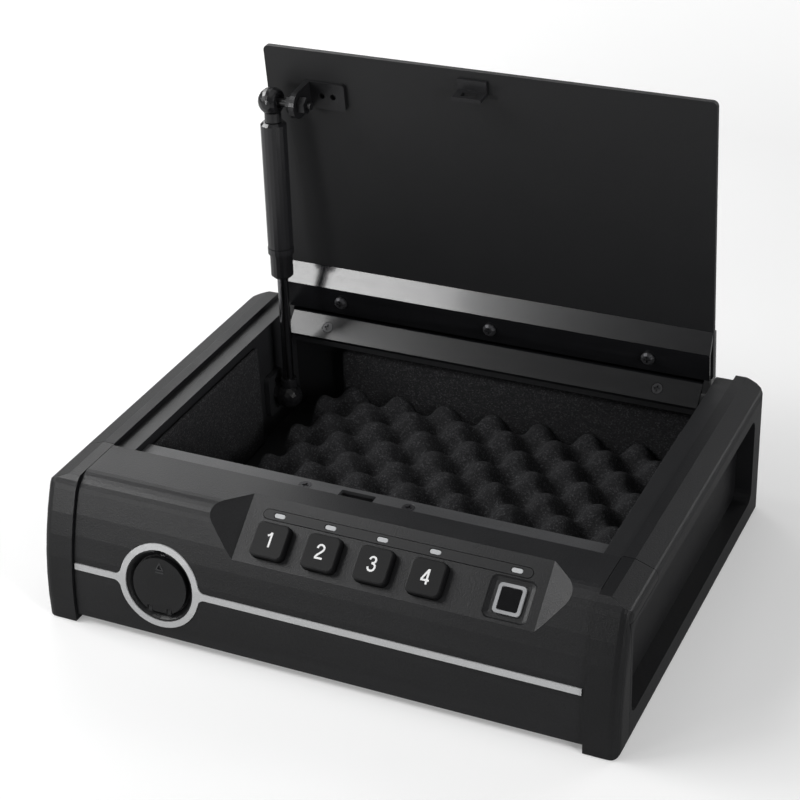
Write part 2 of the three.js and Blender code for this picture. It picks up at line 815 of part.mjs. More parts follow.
function makeFascia() {
  const half = fasciaHalfWidth;
  const outer = prism('x', frontOutline(0, 0, 0), -half, half);
  const wedge = panelWedge(0);
  const cavityEnds = half + overrun;
  const hollow = cut(
    prism('x', frontOutline(-mouldWall, -overrun, overrun), -cavityEnds, cavityEnds),
    block(-cavityEnds, cavityEnds, -mouldWall, 2 * overrun, fasciaFlangeBottom, deckTop),
    block(-cavityEnds, cavityEnds, faceFrontY - overrun, facePoint(0) + fasciaLipDepth,
      -2 * overrun, mouldWall),
    panelWedge(mouldWall),
  );
  const cup = inFrame(bar('z', 0, 0, dishRadius + cupWall, -cupDepth, overrun, wideSides), lockFrame)
    .intersect(outer);
  const dish = inFrame(solid(turned([
    [0, -dishDepth], [dishFloorRadius, -dishDepth], [dishRadius, -dishEdge],
    [dishRadius, overrun], [0, overrun],
  ], wideSides)), lockFrame);
  const bore = inFrame(bar('z', 0, 0, lockBodyRadius + seatGap, -2 * cupDepth, 0), lockFrame);
  const notch = inFrame(solid(new THREE.SphereGeometry(notchRadius, roundSides, smallSides)
    .translate(0, notchY, 0)), lockFrame);
  const groove = stripeSolid(seatGap, overrun, stripeDepth + seatGap);
  const lugs = [-1, 1].map((side) => {
    const inner = side * (coverBarrelHalf + seatGap);
    const outer = side * coverLugHalf;
    const lug = block(Math.min(inner, outer), Math.max(inner, outer),
      -coverAxisDrop - coverPinRadius - seatGap * 2, -coverTabTop - seatGap,
      -dishDepth - seatGap, coverTop - seatGap);
    const hole = bar('x', -coverAxisDrop, coverTop - coverThickness / 2, coverPinRadius + pinFit,
      -dishRadius, dishRadius);
    return inFrame(cut(lug, hole), lockFrame);
  });
  const boardPosts = boardPostPlaces().map(([x, y]) => {
    const post = bar('z', x, y, boardPostRadius, boardTop() + seatGap, -mouldWall / 2, smallSides);
    const pilot = bar('z', x, y, boardHoleRadius - seatGap, boardTop(), -mouldWall, smallSides);
    return inFrame(cut(post, pilot), panelFrame);
  });
  const keyHoles = keyNumbers.map((i) => inFrame(prism('z',
    centred(keyX(i), -keyRun, keySize + 2 * seatGap, keySize + 2 * seatGap, keyRadius + seatGap),
    -2 * mouldWall, overrun), panelFrame));
  const barFloor = barProud - barThickness - seatGap;
  const barRecess = inFrame(prism('z', barOutline(seatGap), barFloor, overrun), panelFrame);
  const lensHoles = lensXs().map((x) => {
    const hole = prism('z', lensOutline(x, seatGap), -2 * mouldWall, overrun);
    return inFrame(hole, panelFrame);
  });
  const guideFlat = new THREE.ExtrudeGeometry(
    centred(sensorX, -sensorRun, guideWidth - 2 * guideTaper, guideHeight - 2 * guideTaper, guideCorner),
    {
      depth: overrun,
      bevelThickness: guideDepth,
      bevelSize: guideTaper,
      bevelSegments: 2,
      curveSegments: cornerSteps,
    },
  );
  const guide = inFrame(solid(guideFlat), panelFrame);
  const bezelHole = inFrame(prism('z',
    centred(sensorX, -sensorRun, bezelWidth + 2 * seatGap, bezelHeight + 2 * seatGap, bezelRadius),
    -2 * mouldWall, overrun), panelFrame);
  const shell = join(cut(outer, wedge, hollow), cup);
  const openings = [dish, bore, notch, groove, ...keyHoles, barRecess, ...lensHoles, guide, bezelHole];
  return join(cut(shell, ...openings), ...lugs, ...boardPosts);
}

function makeStripe() {
  return stripeSolid(0, stripeProud, stripeDepth);
}

// Keypad panel pieces, in the panel's own frame: x across, y up the slope, z out of the panel

function barOutline(grow) {
  const half = barWidth / 2 + grow;
  const corner = half - grow * endEaseShare;
  return rounded(barLeft - grow, barRight + grow, -barRun - half, -barRun + half, corner);
}

function lensOutline(x, grow) {
  const height = lensWidth + 2 * grow;
  return centred(x, -barRun, lensLength + 2 * grow, height, height / 2 - grow * endEaseShare);
}

function boardTop() {
  const press = keyTravel + keyFlangeThickness + mouldWall + 2 * seatGap;
  return -press - sheet;
}

function boardPostPlaces() {
  const x0 = panelLeft - boardMargin / 2;
  const x1 = panelRight + boardMargin / 2;
  const y0 = -boardBottomRun + boardPostRadius;
  const y1 = -boardTopRun - boardPostRadius;
  return [[x0, y0], [x0, y1], [x1, y0], [x1, y1]];
}

function makeKey(i) {
  const x = keyX(i);
  const face = keySize - 2 * keyBevel;
  const cap = new THREE.ExtrudeGeometry(centred(x, -keyRun, face, face, keyRadius - keyBevel), {
    depth: keyProud + mouldWall - keyBevel, bevelThickness: keyBevel, bevelSize: keyBevel, bevelSegments: 2,
    curveSegments: cornerSteps,
  });
  cap.translate(0, 0, -mouldWall);
  const flangeTop = -mouldWall - seatGap;
  const half = keySize / 2;
  const flange = prism('z', rounded(x - half - keyFlange, x + half + keyFlange, -keyRun - half + keyBevel,
    -keyRun + half + keyFlange, keyRadius), flangeTop - keyFlangeThickness, flangeTop);
  return join(solid(cap), flange);
}

function makeLightBar() {
  const plate = prism('z', barOutline(0), barProud - barThickness, barProud);
  return cut(plate, ...lensXs().map((x) => prism('z', lensOutline(x, seatGap), -overrun, overrun)));
}

function makeLightPipe() {
  const top = -mouldWall - seatGap;
  const half = pipeWidth / 2;
  const outline = rounded(barLeft, barRight, -barRun - half, -barRun + half, half - seatGap);
  const base = prism('z', outline, top - pipeThickness, top);
  const lenses = lensXs().map((x) => prism('z', lensOutline(x, 0), top - seatGap, barProud - seatGap));
  return join(base, ...lenses);
}

function makeBezel() {
  const bottom = -mouldWall - seatGap - bezelFlangeThickness;
  const outline = centred(sensorX, -sensorRun, bezelWidth, bezelHeight, bezelRadius);
  const frame = prism('z', outline, bottom, -bezelInset);
  const flange = prism('z', centred(sensorX, -sensorRun + bezelFlange / 2, bezelWidth + 2 * bezelFlange,
    bezelHeight + bezelFlange, bezelRadius), bottom, -mouldWall - seatGap);
  const window = prism('z', centred(sensorX, -sensorRun, bezelWidth - 2 * bezelWall,
    bezelHeight - 2 * bezelWall, bezelRadius / 2), -glassInset - glassThickness - seatGap, overrun);
  const through = prism('z', centred(sensorX, -sensorRun, bezelWidth - 2 * bezelWall - 2 * bezelLedge,
    bezelHeight - 2 * bezelWall - 2 * bezelLedge, bezelRadius / 2), -2 * overrun, overrun);
  return cut(join(frame, flange), window, through);
}

function makeGlass() {
  const inset = 2 * (bezelWall + seatGap);
  return prism('z', centred(sensorX, -sensorRun, bezelWidth - inset, bezelHeight - inset, bezelRadius / 2),
    -glassInset - glassThickness, -glassInset);
}

function chip(x, y, width, height, bottom, top) {
  return block(x - width / 2, x + width / 2, y - height / 2, y + height / 2, bottom, top);
}

function makeBoard() {
  const top = boardTop();
  const board = prism('z', rounded(panelLeft - boardMargin, panelRight + boardMargin,
    -boardBottomRun, -boardTopRun, sheet), top - boardThickness, top);
  const switchTop = top + sheet - seatGap;
  const switches = keyNumbers.map((i) =>
    chip(keyX(i), -keyRun, switchSize, switchSize, top - seatGap, switchTop));
  const diodeTop = -mouldWall - pipeThickness - 2 * seatGap;
  const diodes = lensXs().map((x) => chip(x, -barRun, diodeSize, diodeSize, top - seatGap, diodeTop));
  const sensor = chip(sensorX, -sensorRun, bezelWidth, bezelHeight, top - seatGap,
    -mouldWall - bezelFlangeThickness - 2 * seatGap);
  const holes = boardPostPlaces().map(([x, y]) =>
    bar('z', x, y, boardHoleRadius, -drillReach, 0, smallSides));
  return cut(join(board, ...switches, ...diodes, sensor), ...holes);
}

// Key cover and lock, in the lock's own frame: x across, y up the face, z out of it

function makeKeyCover() {
  const middle = coverTop - coverThickness / 2;
  const plate = cut(
    prism('z', disc(0, 0, coverRadius), coverTop - coverThickness, coverTop, wideSides),
    block(-coverTabHalf, coverTabHalf, -coverRadius - overrun, -coverTabTop, -overrun, overrun),
  );
  const web = block(-coverBarrelHalf, coverBarrelHalf, -coverAxisDrop, -coverTabTop + seatGap,
    coverTop - coverThickness, coverTop);
  const barrel = bar('x', -coverAxisDrop, middle, coverThickness / 2,
    -coverBarrelHalf, coverBarrelHalf, roundSides);
  const pin = bar('x', -coverAxisDrop, middle, coverPinRadius, -coverPinHalf, coverPinHalf, smallSides);
  const half = coverMarkSize / 2;
  const mark = prism('z', polygon([
    [-half, coverMarkY - half], [half, coverMarkY - half], [0, coverMarkY + half],
  ]), coverTop - coverMarkDepth, coverTop + overrun);
  return cut(join(plate, web, barrel, pin), mark);
}

function lockFront() {
  return -dishDepth - seatGap;
}

function makeLockBody() {
  const front = lockFront();
  const body = bar('z', 0, 0, lockBodyRadius, front - lockLength, front);
  return cut(body, bar('z', 0, 0, plugRadius + pinFit, front - lockLength - overrun, overrun));
}

function makeLockPlug() {
  const front = lockFront() - plugInset;
  const plug = bar('z', 0, 0, plugRadius, lockFront() - lockLength, front);
  const half = keyholeLength / 2;
  return cut(plug, block(-keyholeWidth / 2, keyholeWidth / 2, -half, half, front - keyholeDepth, overrun));
}

function makeLockCam() {
  const top = lockFront() - lockLength - seatGap;
  const lean = Math.asin((camHubRadius - camTipRadius) / camReach);
  const outline = new THREE.Shape()
    .absarc(0, 0, camHubRadius, Math.PI / 2 - lean, 3 * Math.PI / 2 + lean, false)
    .absarc(camReach, 0, camTipRadius, -Math.PI / 2 + lean, Math.PI / 2 - lean, false);
  return prism('z', outline, top - camThickness, top);
}

// Latch, solenoid and battery box in the front compartment

function floorTop() {
  return tubFloorBottom + sheet + seatGap;
}

function solenoidAxis() {
  return { x: (boltLeft + boltRight) / 2, z: solenoidBottom + solenoidHeight / 2 };
}

function makeBolt() {
  const armRear = boltArmFront + boltArmThickness;
  const arm = block(boltLeft, boltRight, boltArmFront, armRear, boltArmBottom, boltTop);
  const tongueRear = boltTip - boltArmThickness / 2;
  const tongue = block(boltLeft, boltRight, boltArmFront, tongueRear, boltBottom, boltTop);
  const tip = prism('z', polygon([
    [boltLeft, boltTip - boltArmThickness], [boltRight, boltTip - boltArmThickness],
    [boltRight - sheet, boltTip], [boltLeft + sheet, boltTip],
  ]), boltBottom, boltTop);
  return join(arm, tongue, tip);
}

function makeLatchFrame() {
  const bottom = floorTop();
  const wallRear = frameWallFront + sheet;
  const base = block(frameLeft, frameRight, solenoidFront, wallRear, bottom, bottom + sheet);
  const wall = block(frameLeft, frameRight, frameWallFront, wallRear, bottom, frameTop);
  const guide = block(boltLeft - seatGap, boltRight + seatGap, frameWallFront - overrun, wallRear + overrun,
    boltBottom - seatGap, frameTop + overrun);
  const cheekTop = solenoidBottom + solenoidHeight;
  const cheeks = [solenoidLeft - seatGap - sheet, solenoidRight + seatGap].map((x) =>
    block(x, x + sheet, solenoidFront, solenoidFront + solenoidLength, bottom, cheekTop));
  const shelf = block(solenoidLeft - seatGap - sheet, solenoidRight + seatGap + sheet, solenoidFront,
    solenoidFront + solenoidLength, solenoidBottom - seatGap - sheet, solenoidBottom - seatGap);
  return cut(join(base, wall, ...cheeks, shelf), guide);
}

function makeSolenoid() {
  const { x, z } = solenoidAxis();
  const rear = solenoidFront + solenoidLength;
  const outline = rounded(solenoidLeft, solenoidRight, solenoidBottom,
    solenoidBottom + solenoidHeight, sheet);
  const body = prism('y', outline, solenoidFront, rear);
  return cut(body, bar('y', x, z, plungerRadius + seatGap, rear - solenoidBoreDepth, rear + overrun));
}

function makePlunger() {
  const { x, z } = solenoidAxis();
  const rear = solenoidFront + solenoidLength;
  const shaft = bar('y', x, z, plungerRadius, rear - plungerInside, boltArmFront - seatGap);
  const half = sheet * thirdShare;
  const end = rear - plungerInside;
  return cut(shaft, block(x - half, x + half, end - overrun, end + half,
    z - plungerRadius * 2, z + plungerRadius * 2));
}

function batteryOutline(inset) {
  return rounded(batteryLeft + inset, batteryLeft + batteryLength - inset, batteryFront + inset,
    batteryFront + batteryDepth - inset, batteryCorner);
}

function batteryBossY() {
  return batteryFront + batteryDepth - batteryWall - coverScrewBoss;
}

function batteryMiddleX() {
  return batteryLeft + batteryLength / 2;
}

function makeBatteryBox() {
  const bottom = floorTop();
  const box = cut(
    prism('z', batteryOutline(-batteryWall), bottom, bottom + batteryHeight),
    prism('z', batteryOutline(0), bottom - overrun, bottom + batteryHeight - batteryWall),
  );
  const bossTop = bottom + batteryHeight - sheet;
  const boss = bar('z', batteryMiddleX(), batteryBossY(), coverScrewBoss, bottom, bossTop);
  const hole = bar('z', batteryMiddleX(), batteryBossY(), coverScrewRadius + seatGap,
    -overrun, coverScrewLength + overrun);
  const web = block(batteryMiddleX() - sheet / 2, batteryMiddleX() + sheet / 2, batteryBossY(),
    batteryFront + batteryDepth + batteryWall / 2, bottom, bossTop);
  return cut(join(box, boss, web), hole);
}

function makeBatteryCover() {
  const plate = prism('z', batteryOutline(seatGap), tubFloorBottom, tubFloorBottom + sheet);
  const ribs = [-1, 1].map((side) => {
    const y = batteryFront + batteryDepth / 2 + side * coverScrewBoss * 2;
    const right = batteryMiddleX() - coverScrewBoss * 2;
    return block(batteryLeft + batteryCorner, right, y - sheet / 2, y + sheet / 2,
      tubFloorBottom + sheet / 2, floorTop() + sheet);
  });
  const seat = solid(moved(
    flatScrewSeat(coverScrewHead, coverScrewRadius, sheet - seatGap, coverScrewLength).rotateX(Math.PI),
    batteryMiddleX(), batteryBossY(), tubFloorBottom,
  ));
  return cut(join(plate, ...ribs), seat);
}

function makeBatteryScrew() {
  return flatScrew(coverScrewHead, coverScrewRadius, sheet - seatGap, coverScrewLength)
    .rotate([halfTurnDeg, 0, 0])
    .translate([batteryMiddleX(), batteryBossY(), tubFloorBottom]);
}

// Foam lining

function foamRight() {
  return tubInner - sideFoam - 2 * seatGap;
}

function makeEggCrateFoam() {
  const x0 = foamLeft;
  const x1 = foamRight();
  const y0 = bulkheadFront + sheet + seatGap;
  const y1 = tubRear - sheet - seatGap - rearFoam - seatGap;
  const bottom = floorTop();
  const columns = Math.round((x1 - x0) / foamPeriodX * foamStepsPerPeriod);
  const rows = Math.round((y1 - y0) / foamPeriodY * foamStepsPerPeriod);
  const middle = (foamPeak + foamValley) / 2;
  const swing = (foamPeak - foamValley) / 2;
  const turn = 2 * Math.PI;
  const positions = [];
  const faces = [];
  const index = (i, j) => j * (columns + 1) + i;
  for (let j = 0; j <= rows; j += 1) {
    for (let i = 0; i <= columns; i += 1) {
      const x = x0 + i / columns * (x1 - x0);
      const y = y0 + j / rows * (y1 - y0);
      const wave = Math.cos(turn * (x - x0) / foamPeriodX) * Math.cos(turn * (y - y0) / foamPeriodY);
      positions.push(x, y, middle + swing * wave);
    }
  }
  for (let j = 0; j < rows; j += 1) {
    for (let i = 0; i < columns; i += 1) {
      faces.push(index(i, j), index(i + 1, j), index(i + 1, j + 1));
      faces.push(index(i, j), index(i + 1, j + 1), index(i, j + 1));
    }
  }
  const edge = [];
  for (let i = 0; i < columns; i += 1) edge.push(index(i, 0));
  for (let j = 0; j < rows; j += 1) edge.push(index(columns, j));
  for (let i = columns; i > 0; i -= 1) edge.push(index(i, rows));
  for (let j = rows; j > 0; j -= 1) edge.push(index(0, j));
  const base = positions.length / 3;
  edge.forEach((top) => positions.push(positions[3 * top], positions[3 * top + 1], bottom));
  const centre = positions.length / 3;
  positions.push((x0 + x1) / 2, (y0 + y1) / 2, bottom);
  edge.forEach((top, k) => {
    const next = (k + 1) % edge.length;
    faces.push(top, base + k, base + next, top, base + next, edge[next]);
    faces.push(centre, base + next, base + k);
  });
  const geometry = new THREE.BufferGeometry();
  geometry.setAttribute('position', new THREE.Float32BufferAttribute(positions, 3));
  geometry.setIndex(faces);
  return solid(geometry);
}

// The right liner is cut down under the hinge, where the lid's rail and arms come when it shuts
function makeSideFoam(side) {
  const ends = [side * (tubInner - seatGap), side * (tubInner - seatGap - sideFoam)];
  const front = bulkheadFront + sheet + seatGap;
  const low = floorTop();
  const whole = [
    [front, low], [leftFoamRear, low], [leftFoamRear, sideFoamTop], [front, sideFoamTop],
  ];
  const rear = tubRear - sheet - seatGap;
  const reliefY = hingeY - foamHingeRelief;
  const reliefZ = hingeZ - foamHingeRelief;
  const stepped = [
    [front, low], [rear, low], [rear, reliefZ], [reliefY, reliefZ],
    [reliefY, hingeZ], [leftFoamRear, hingeZ], [leftFoamRear, sideFoamTop], [front, sideFoamTop],
  ];
  return prism('x', polygon(side < 0 ? whole : stepped), Math.min(...ends), Math.max(...ends));
}

function makeRearFoam() {
  const rear = tubRear - sheet - seatGap;
  return block(rearFoamLeft, foamRight(), rear - rearFoam, rear, floorTop(), rearFoamTop);
}

// Fixed half of the hinge, in (y, z) about the hinge axis

function fixedPoints() {
  const nose = [-Math.sqrt((fixedRadius - seatGap) ** 2 - noseDrop ** 2), noseDrop];
  const top = [-noseLean, Math.sqrt(fixedRadius ** 2 - noseLean ** 2)];
  const length = Math.hypot(top[0] - nose[0], top[1] - nose[1]);
  const along = [(top[0] - nose[0]) / length, (top[1] - nose[1]) / length];
  const inward = [along[1], -along[0]];
  return { nose, top, length, along, inward };
}

// Where the line a given depth under the slanted face meets a level or an upright
function underFace(depth, level, upright) {
  const { nose, along, inward } = fixedPoints();
  const start = [nose[0] + depth * inward[0], nose[1] + depth * inward[1]];
  const share = upright ? (level - start[0]) / along[0] : (level - start[1]) / along[1];
  return [start[0] + share * along[0], start[1] + share * along[1]];
}

function aroundHinge(points) {
  return polygon(points.map(([y, z]) => [hingeY + y, hingeZ + z]));
}

function makeHingeCore() {
  const depth = coverRailThickness + seatGap;
  const section = aroundHinge([
    [-coreFront, -coreBottom], [coreRear, -coreBottom], [coreRear, coreTop],
    underFace(depth, coreTop, false), underFace(depth, -coreFront, true),
  ]);
  const bores = [-1, 1].map((side) => {
    const ends = [side * (hingePinInner - seatGap), side * (coverRailHalf + overrun)];
    return bar('x', hingeY, hingeZ, hingePinRadius + pinFit, Math.min(...ends), Math.max(...ends));
  });
  const screws = [-1, 1].map((side) => coverScrewHole(side, coverRailScrewShank + seatGap));
  return cut(prism('x', section, -coverRailHalf, coverRailHalf), ...bores, ...screws);
}

function slantFrame(side) {
  const { nose, along, length } = fixedPoints();
  const turn = Math.atan2(along[1], along[0]);
  return frameAt(side * coverScrewX, hingeY + nose[0] + along[0] * length / 2,
    hingeZ + nose[1] + along[1] * length / 2, turn);
}

function coverScrewHole(side, radius) {
  return inFrame(bar('z', 0, 0, radius, -coverRailScrewLength - seatGap, 0), slantFrame(side));
}

function makeCoverRail() {
  const { nose, top } = fixedPoints();
  const points = [nose];
  points.push(underFace(coverRailThickness, -coverRailThickness / 2, false));
  points.push(underFace(coverRailThickness, coreTop + seatGap, false));
  points.push([coreRear, coreTop + seatGap]);
  const last = Math.asin(Math.sqrt(fixedRadius ** 2 - coreRear ** 2) / fixedRadius);
  const first = Math.atan2(top[1], top[0]);
  for (let i = 0; i <= arcSteps; i += 1) {
    const angle = last + i / arcSteps * (first - last);
    points.push([fixedRadius * Math.cos(angle), fixedRadius * Math.sin(angle)]);
  }
  const rail = prism('x', aroundHinge(points), -coverRailHalf, coverRailHalf);
  const seat = () => solid(flatScrewSeat(
    coverRailScrewHead, coverRailScrewShank, coverRailScrewSink, coverRailScrewLength,
  ));
  const seats = [-1, 1].map((side) => inFrame(seat(), slantFrame(side)));
  return cut(rail, ...seats);
}

function makeCoverRailScrew(side) {
  const screw = flatScrew(
    coverRailScrewHead, coverRailScrewShank, coverRailScrewSink, coverRailScrewLength,
  );
  return inFrame(screw, slantFrame(side));
}

function makeHingePin(side) {
  const ends = [side * hingePinInner, side * lidRailHalf];
  return bar('x', hingeY, hingeZ, hingePinRadius, Math.min(...ends), Math.max(...ends));
}

// Lid, modelled shut in its own frame: the origin on the hinge axis, -y towards the front, z up

function lidOutline(points) {
  return polygon(points.map(([u, v]) => [-u, v]));
}

function makeLidPlate() {
  const rear = lidRear;
  const quarter = Math.PI / 2;
  const r = lidCornerRadius;
  const outline = new THREE.Shape()
    .moveTo(lidHalfWidth, -rear)
    .lineTo(-lidHalfWidth, -rear)
    .absarc(-lidHalfWidth + r, -lidFront + r, r, 2 * quarter, 3 * quarter, false)
    .absarc(lidHalfWidth - r, -lidFront + r, r, -quarter, 0, false);
  const holes = lidScrewXs.map((x) => bar('z', x, -lidScrewU, lidScrewShank + lidScrewClearance, 0,
    lidUnder + lidThickness + overrun));
  return cut(prism('z', outline, lidUnder, lidUnder + lidThickness), ...holes);
}

function makeLidRail() {
  const low = lidUnder + lidThickness + seatGap;
  const top = low + railThickness;
  const web = lidRear - seatGap;
  const under = lidUnder - seatGap;
  const inner = railStripTop + railStripThickness;
  const section = lidOutline([
    [-railBack, low], [-railBack, top],
    [railFrontEdge - railChamfer, top], [railFrontEdge, top - railChamfer],
    [railFrontEdge, low], [web, low],
    [web, inner + railStripThickness], [railStripRear + railChamfer, inner],
    [railHookRoot - railChamfer, inner], [railHookTip - 2 * railThickness + railChamfer, under],
    [railHookTip, under], [railHookRoot, railStripTop], [railStripRear, railStripTop],
    [railWebOuter, under], [railWebOuter, low],
  ]);
  const rail = prism('x', section, -lidRailHalf, lidRailHalf);
  const arms = [-1, 1].map((side) => {
    const ends = [side * (lidRailHalf - armThickness), side * lidRailHalf];
    const from = Math.min(...ends);
    const to = Math.max(...ends);
    const head = bar('x', 0, 0, armRadius, from, to, wideSides);
    const link = prism('x', lidOutline([
      [0, armRadius], [web, low], [web, under], [railStripRear, inner], [railStripRear, railStripTop],
      [railWebOuter, -railStripTop], [0, -armRadius],
    ]), from, to);
    return cut(join(head, link), bar('x', 0, 0, hingePinRadius + pinFit, from - overrun, to + overrun));
  });
  const holes = lidScrewXs.map((x) =>
    bar('z', x, -lidScrewU, lidScrewShank + lidScrewClearance, 0, inner + sheet));
  return cut(join(rail, ...arms), ...holes);
}

function makeLidScrew(x) {
  const headTop = railStripTop - seatGap;
  const head = solid(turned([
    [0, headTop - lidScrewHeadHeight], [lidScrewHead * crownShare, headTop - lidScrewHeadHeight],
    [lidScrewHead, headTop - lidScrewHeadHeight / 2], [lidScrewHead, headTop], [0, headTop],
  ]).translate(x, -lidScrewU, 0));
  const shank = bar('z', x, -lidScrewU, lidScrewShank,
    headTop - lidScrewHeadHeight * shankRootShare, lidUnder + lidThickness - seatGap);
  const arm = lidScrewHead / 2;
  const width = lidScrewShank * slotHalfShare;
  const recessTop = headTop - lidScrewHeadHeight / 2;
  const recess = join(
    block(x - arm, x + arm, -lidScrewU - width, -lidScrewU + width, -overrun, recessTop),
    block(x - width, x + width, -lidScrewU - arm, -lidScrewU + arm, -overrun, recessTop),
  );
  return cut(join(head, shank), recess);
}

function makeStriker() {
  const top = lidUnder - seatGap;
  const base = block(strikerLeft, strikerRight, -strikerFront, -strikerRear, top - strikerSheet, top);
  const legFront = -strikerRear - strikerLegThickness;
  const leg = block(strikerLeft, strikerRight, legFront, -strikerRear, strikerBottom, top);
  const window = block(boltLeft - windowSide, boltRight + windowSide,
    -strikerFront - overrun, -strikerRear + overrun,
    boltBottom - hingeZ - windowAbove, boltTop - hingeZ + windowAbove);
  return cut(join(base, leg), window);
}

// Gas strut, in its own frame: the origin on the lower ball, z along the strut

function strutTop() {
  const open = radians(openDeg);
  const y = hingeY - strutUpperU * Math.cos(open) + strutUpperV * Math.sin(open);
  const z = hingeZ + strutUpperU * Math.sin(open) + strutUpperV * Math.cos(open);
  return { y, z };
}

function strutSpan() {
  const { y, z } = strutTop();
  return Math.hypot(y - strutLowerY, z - strutLowerZ);
}

function strutLean() {
  const { y, z } = strutTop();
  return Math.atan2(y - strutLowerY, z - strutLowerZ);
}

function ballCup(z, side) {
  return cut(
    solid(new THREE.SphereGeometry(socketRadius, ballSides, ballSides / 2).translate(0, 0, z)),
    solid(new THREE.SphereGeometry(ballRadius + ballFit, ballSides, ballSides / 2).translate(0, 0, z)),
    block(side > 0 ? socketFlat : -2 * socketRadius, side > 0 ? 2 * socketRadius : -socketFlat,
      -2 * socketRadius, 2 * socketRadius, z - 2 * socketRadius, z + 2 * socketRadius),
  );
}

function makeLowerSocket() {
  const neck = bar('z', 0, 0, socketNeckRadius, socketRadius * neckRootShare, socketLength);
  return join(ballCup(0, -1), neck);
}

function makeUpperSocket() {
  const span = strutSpan();
  const neck = bar('z', 0, 0, socketNeckRadius, span - socketLength, span - socketRadius * neckRootShare);
  return join(ballCup(span, 1), neck);
}

function tubeTop() {
  return strutSpan() - socketLength - seatGap;
}

function makeRod() {
  return bar('z', 0, 0, rodRadius, socketLength + seatGap, tubeTop() - tubeLength + rodSpare, strutSides);
}

function makeTube() {
  const top = tubeTop();
  const bottom = top - tubeLength;
  const outer = solid(turned([
    [0, bottom], [tubeRadius, bottom], [tubeRadius, top - sheet], [tubeRadius - sheet, top], [0, top],
  ], strutSides));
  return cut(outer, bar('z', 0, 0, rodRadius + rodFit, bottom - overrun, top - tubeEnd, strutSides));
}

function makeGland() {
  const top = tubeTop() - tubeLength - seatGap;
  const bottom = top - glandLength;
  const outer = solid(turned([
    [0, bottom], [glandRadius - sheet, bottom], [glandRadius, bottom + sheet],
    [glandRadius, top - glandCollarLength], [glandCollar, top - glandCollarLength],
    [glandCollar, top], [0, top],
  ], strutSides));
  return cut(outer, bar('z', 0, 0, rodRadius + rodFit, bottom - overrun, top + overrun, strutSides));
}

// A ball stud along x: ball, neck and hexagon, up to the face of its bracket
function ballStud(y, z, direction, reach) {
  const span = [0, direction * reach];
  const hexSpan = [direction * (reach - hexThickness), direction * reach];
  return join(
    solid(new THREE.SphereGeometry(ballRadius, ballSides, ballSides / 2).translate(0, y, z)),
    bar('x', y, z, studNeckRadius, Math.min(...span), Math.max(...span)),
    prism('x', hexagon(y, z, hexAcross), Math.min(...hexSpan), Math.max(...hexSpan)),
  );
}

function lowerBracketFace() {
  return -(tubInner - seatGap - bracketSheet);
}

function makeLowerStud() {
  return ballStud(0, 0, -1, strutX - lowerBracketFace() - seatGap);
}

function makeLowerBracket() {
  const back = lowerBracketFace() - bracketSheet;
  const outline = rounded(strutLowerY - lowerBracketWidth / 2, strutLowerY + lowerBracketWidth / 2,
    strutLowerZ - lowerBracketHeight / 2, strutLowerZ + lowerBracketHeight / 2, bracketSheet);
  const rise = lowerBracketHeight * thirdShare;
  const holes = [-1, 1].map((side) => bar('x', strutLowerY, strutLowerZ + side * rise,
    bracketScrewRadius, -bodyHalfWidth, strutX));
  return cut(prism('x', outline, back, lowerBracketFace()), ...holes);
}

function upperLegLeft() {
  return upperLegX - bracketSheet;
}

function makeUpperStud() {
  return ballStud(0, strutSpan(), 1, upperLegLeft() - strutX - seatGap);
}

function makeUpperBracket() {
  const half = upperBracketWidth / 2;
  const top = lidUnder - seatGap;
  const outline = new THREE.Shape()
    .moveTo(-strutUpperU - half, top)
    .lineTo(-strutUpperU - upperBracketLeg, strutUpperV)
    .absarc(-strutUpperU, strutUpperV, upperBracketLeg, Math.PI, 2 * Math.PI, false)
    .lineTo(-strutUpperU + half, top);
  const leg = prism('x', outline, upperLegLeft(), upperLegX, arcSteps);
  const foot = prism('z', rounded(upperLegLeft(), upperLegX + upperBracketFoot, -strutUpperU - half,
    -strutUpperU + half, sheet), top - bracketSheet * crownShare, top);
  const hole = bar('x', -strutUpperU, strutUpperV, shankRadius + seatGap,
    upperLegLeft() - overrun, upperLegX + overrun);
  const rivets = [1, 2].map((step) => bar('z', upperLegX + upperBracketFoot * step * thirdShare,
    -strutUpperU, bracketScrewRadius, 0, top + overrun));
  return cut(join(leg, foot), hole, ...rivets);
}

function makeUpperNut() {
  const left = upperLegX + seatGap;
  const nut = prism('x', hexagon(-strutUpperU, strutUpperV, nutAcross), left, left + nutThickness);
  const shankEnd = left + nutThickness + shankSpare;
  const shank = bar('x', -strutUpperU, strutUpperV, shankRadius, upperLegLeft(), shankEnd);
  return join(nut, shank);
}

// Assembly

const safe = new THREE.Group();

function framed(parent, frame) {
  const group = new THREE.Group();
  group.applyMatrix4(frame);
  parent.add(group);
  return group;
}

function piece(parent, name, shape, paint) {
  const mesh = new THREE.Mesh(geometryOf(shape), new THREE.MeshStandardMaterial(paints[paint]));
  mesh.name = name;
  parent.add(mesh);
}

const frontReach = faceFrontY - capProud;
const openAngle = radians(openDeg);
const lidTop = lidUnder + lidThickness + seatGap + railThickness;
const rearReach = hingeY + railBack * Math.cos(openAngle) + lidTop * Math.sin(openAngle);
safe.position.set(0, -(frontReach + rearReach) / 2, footDrop);

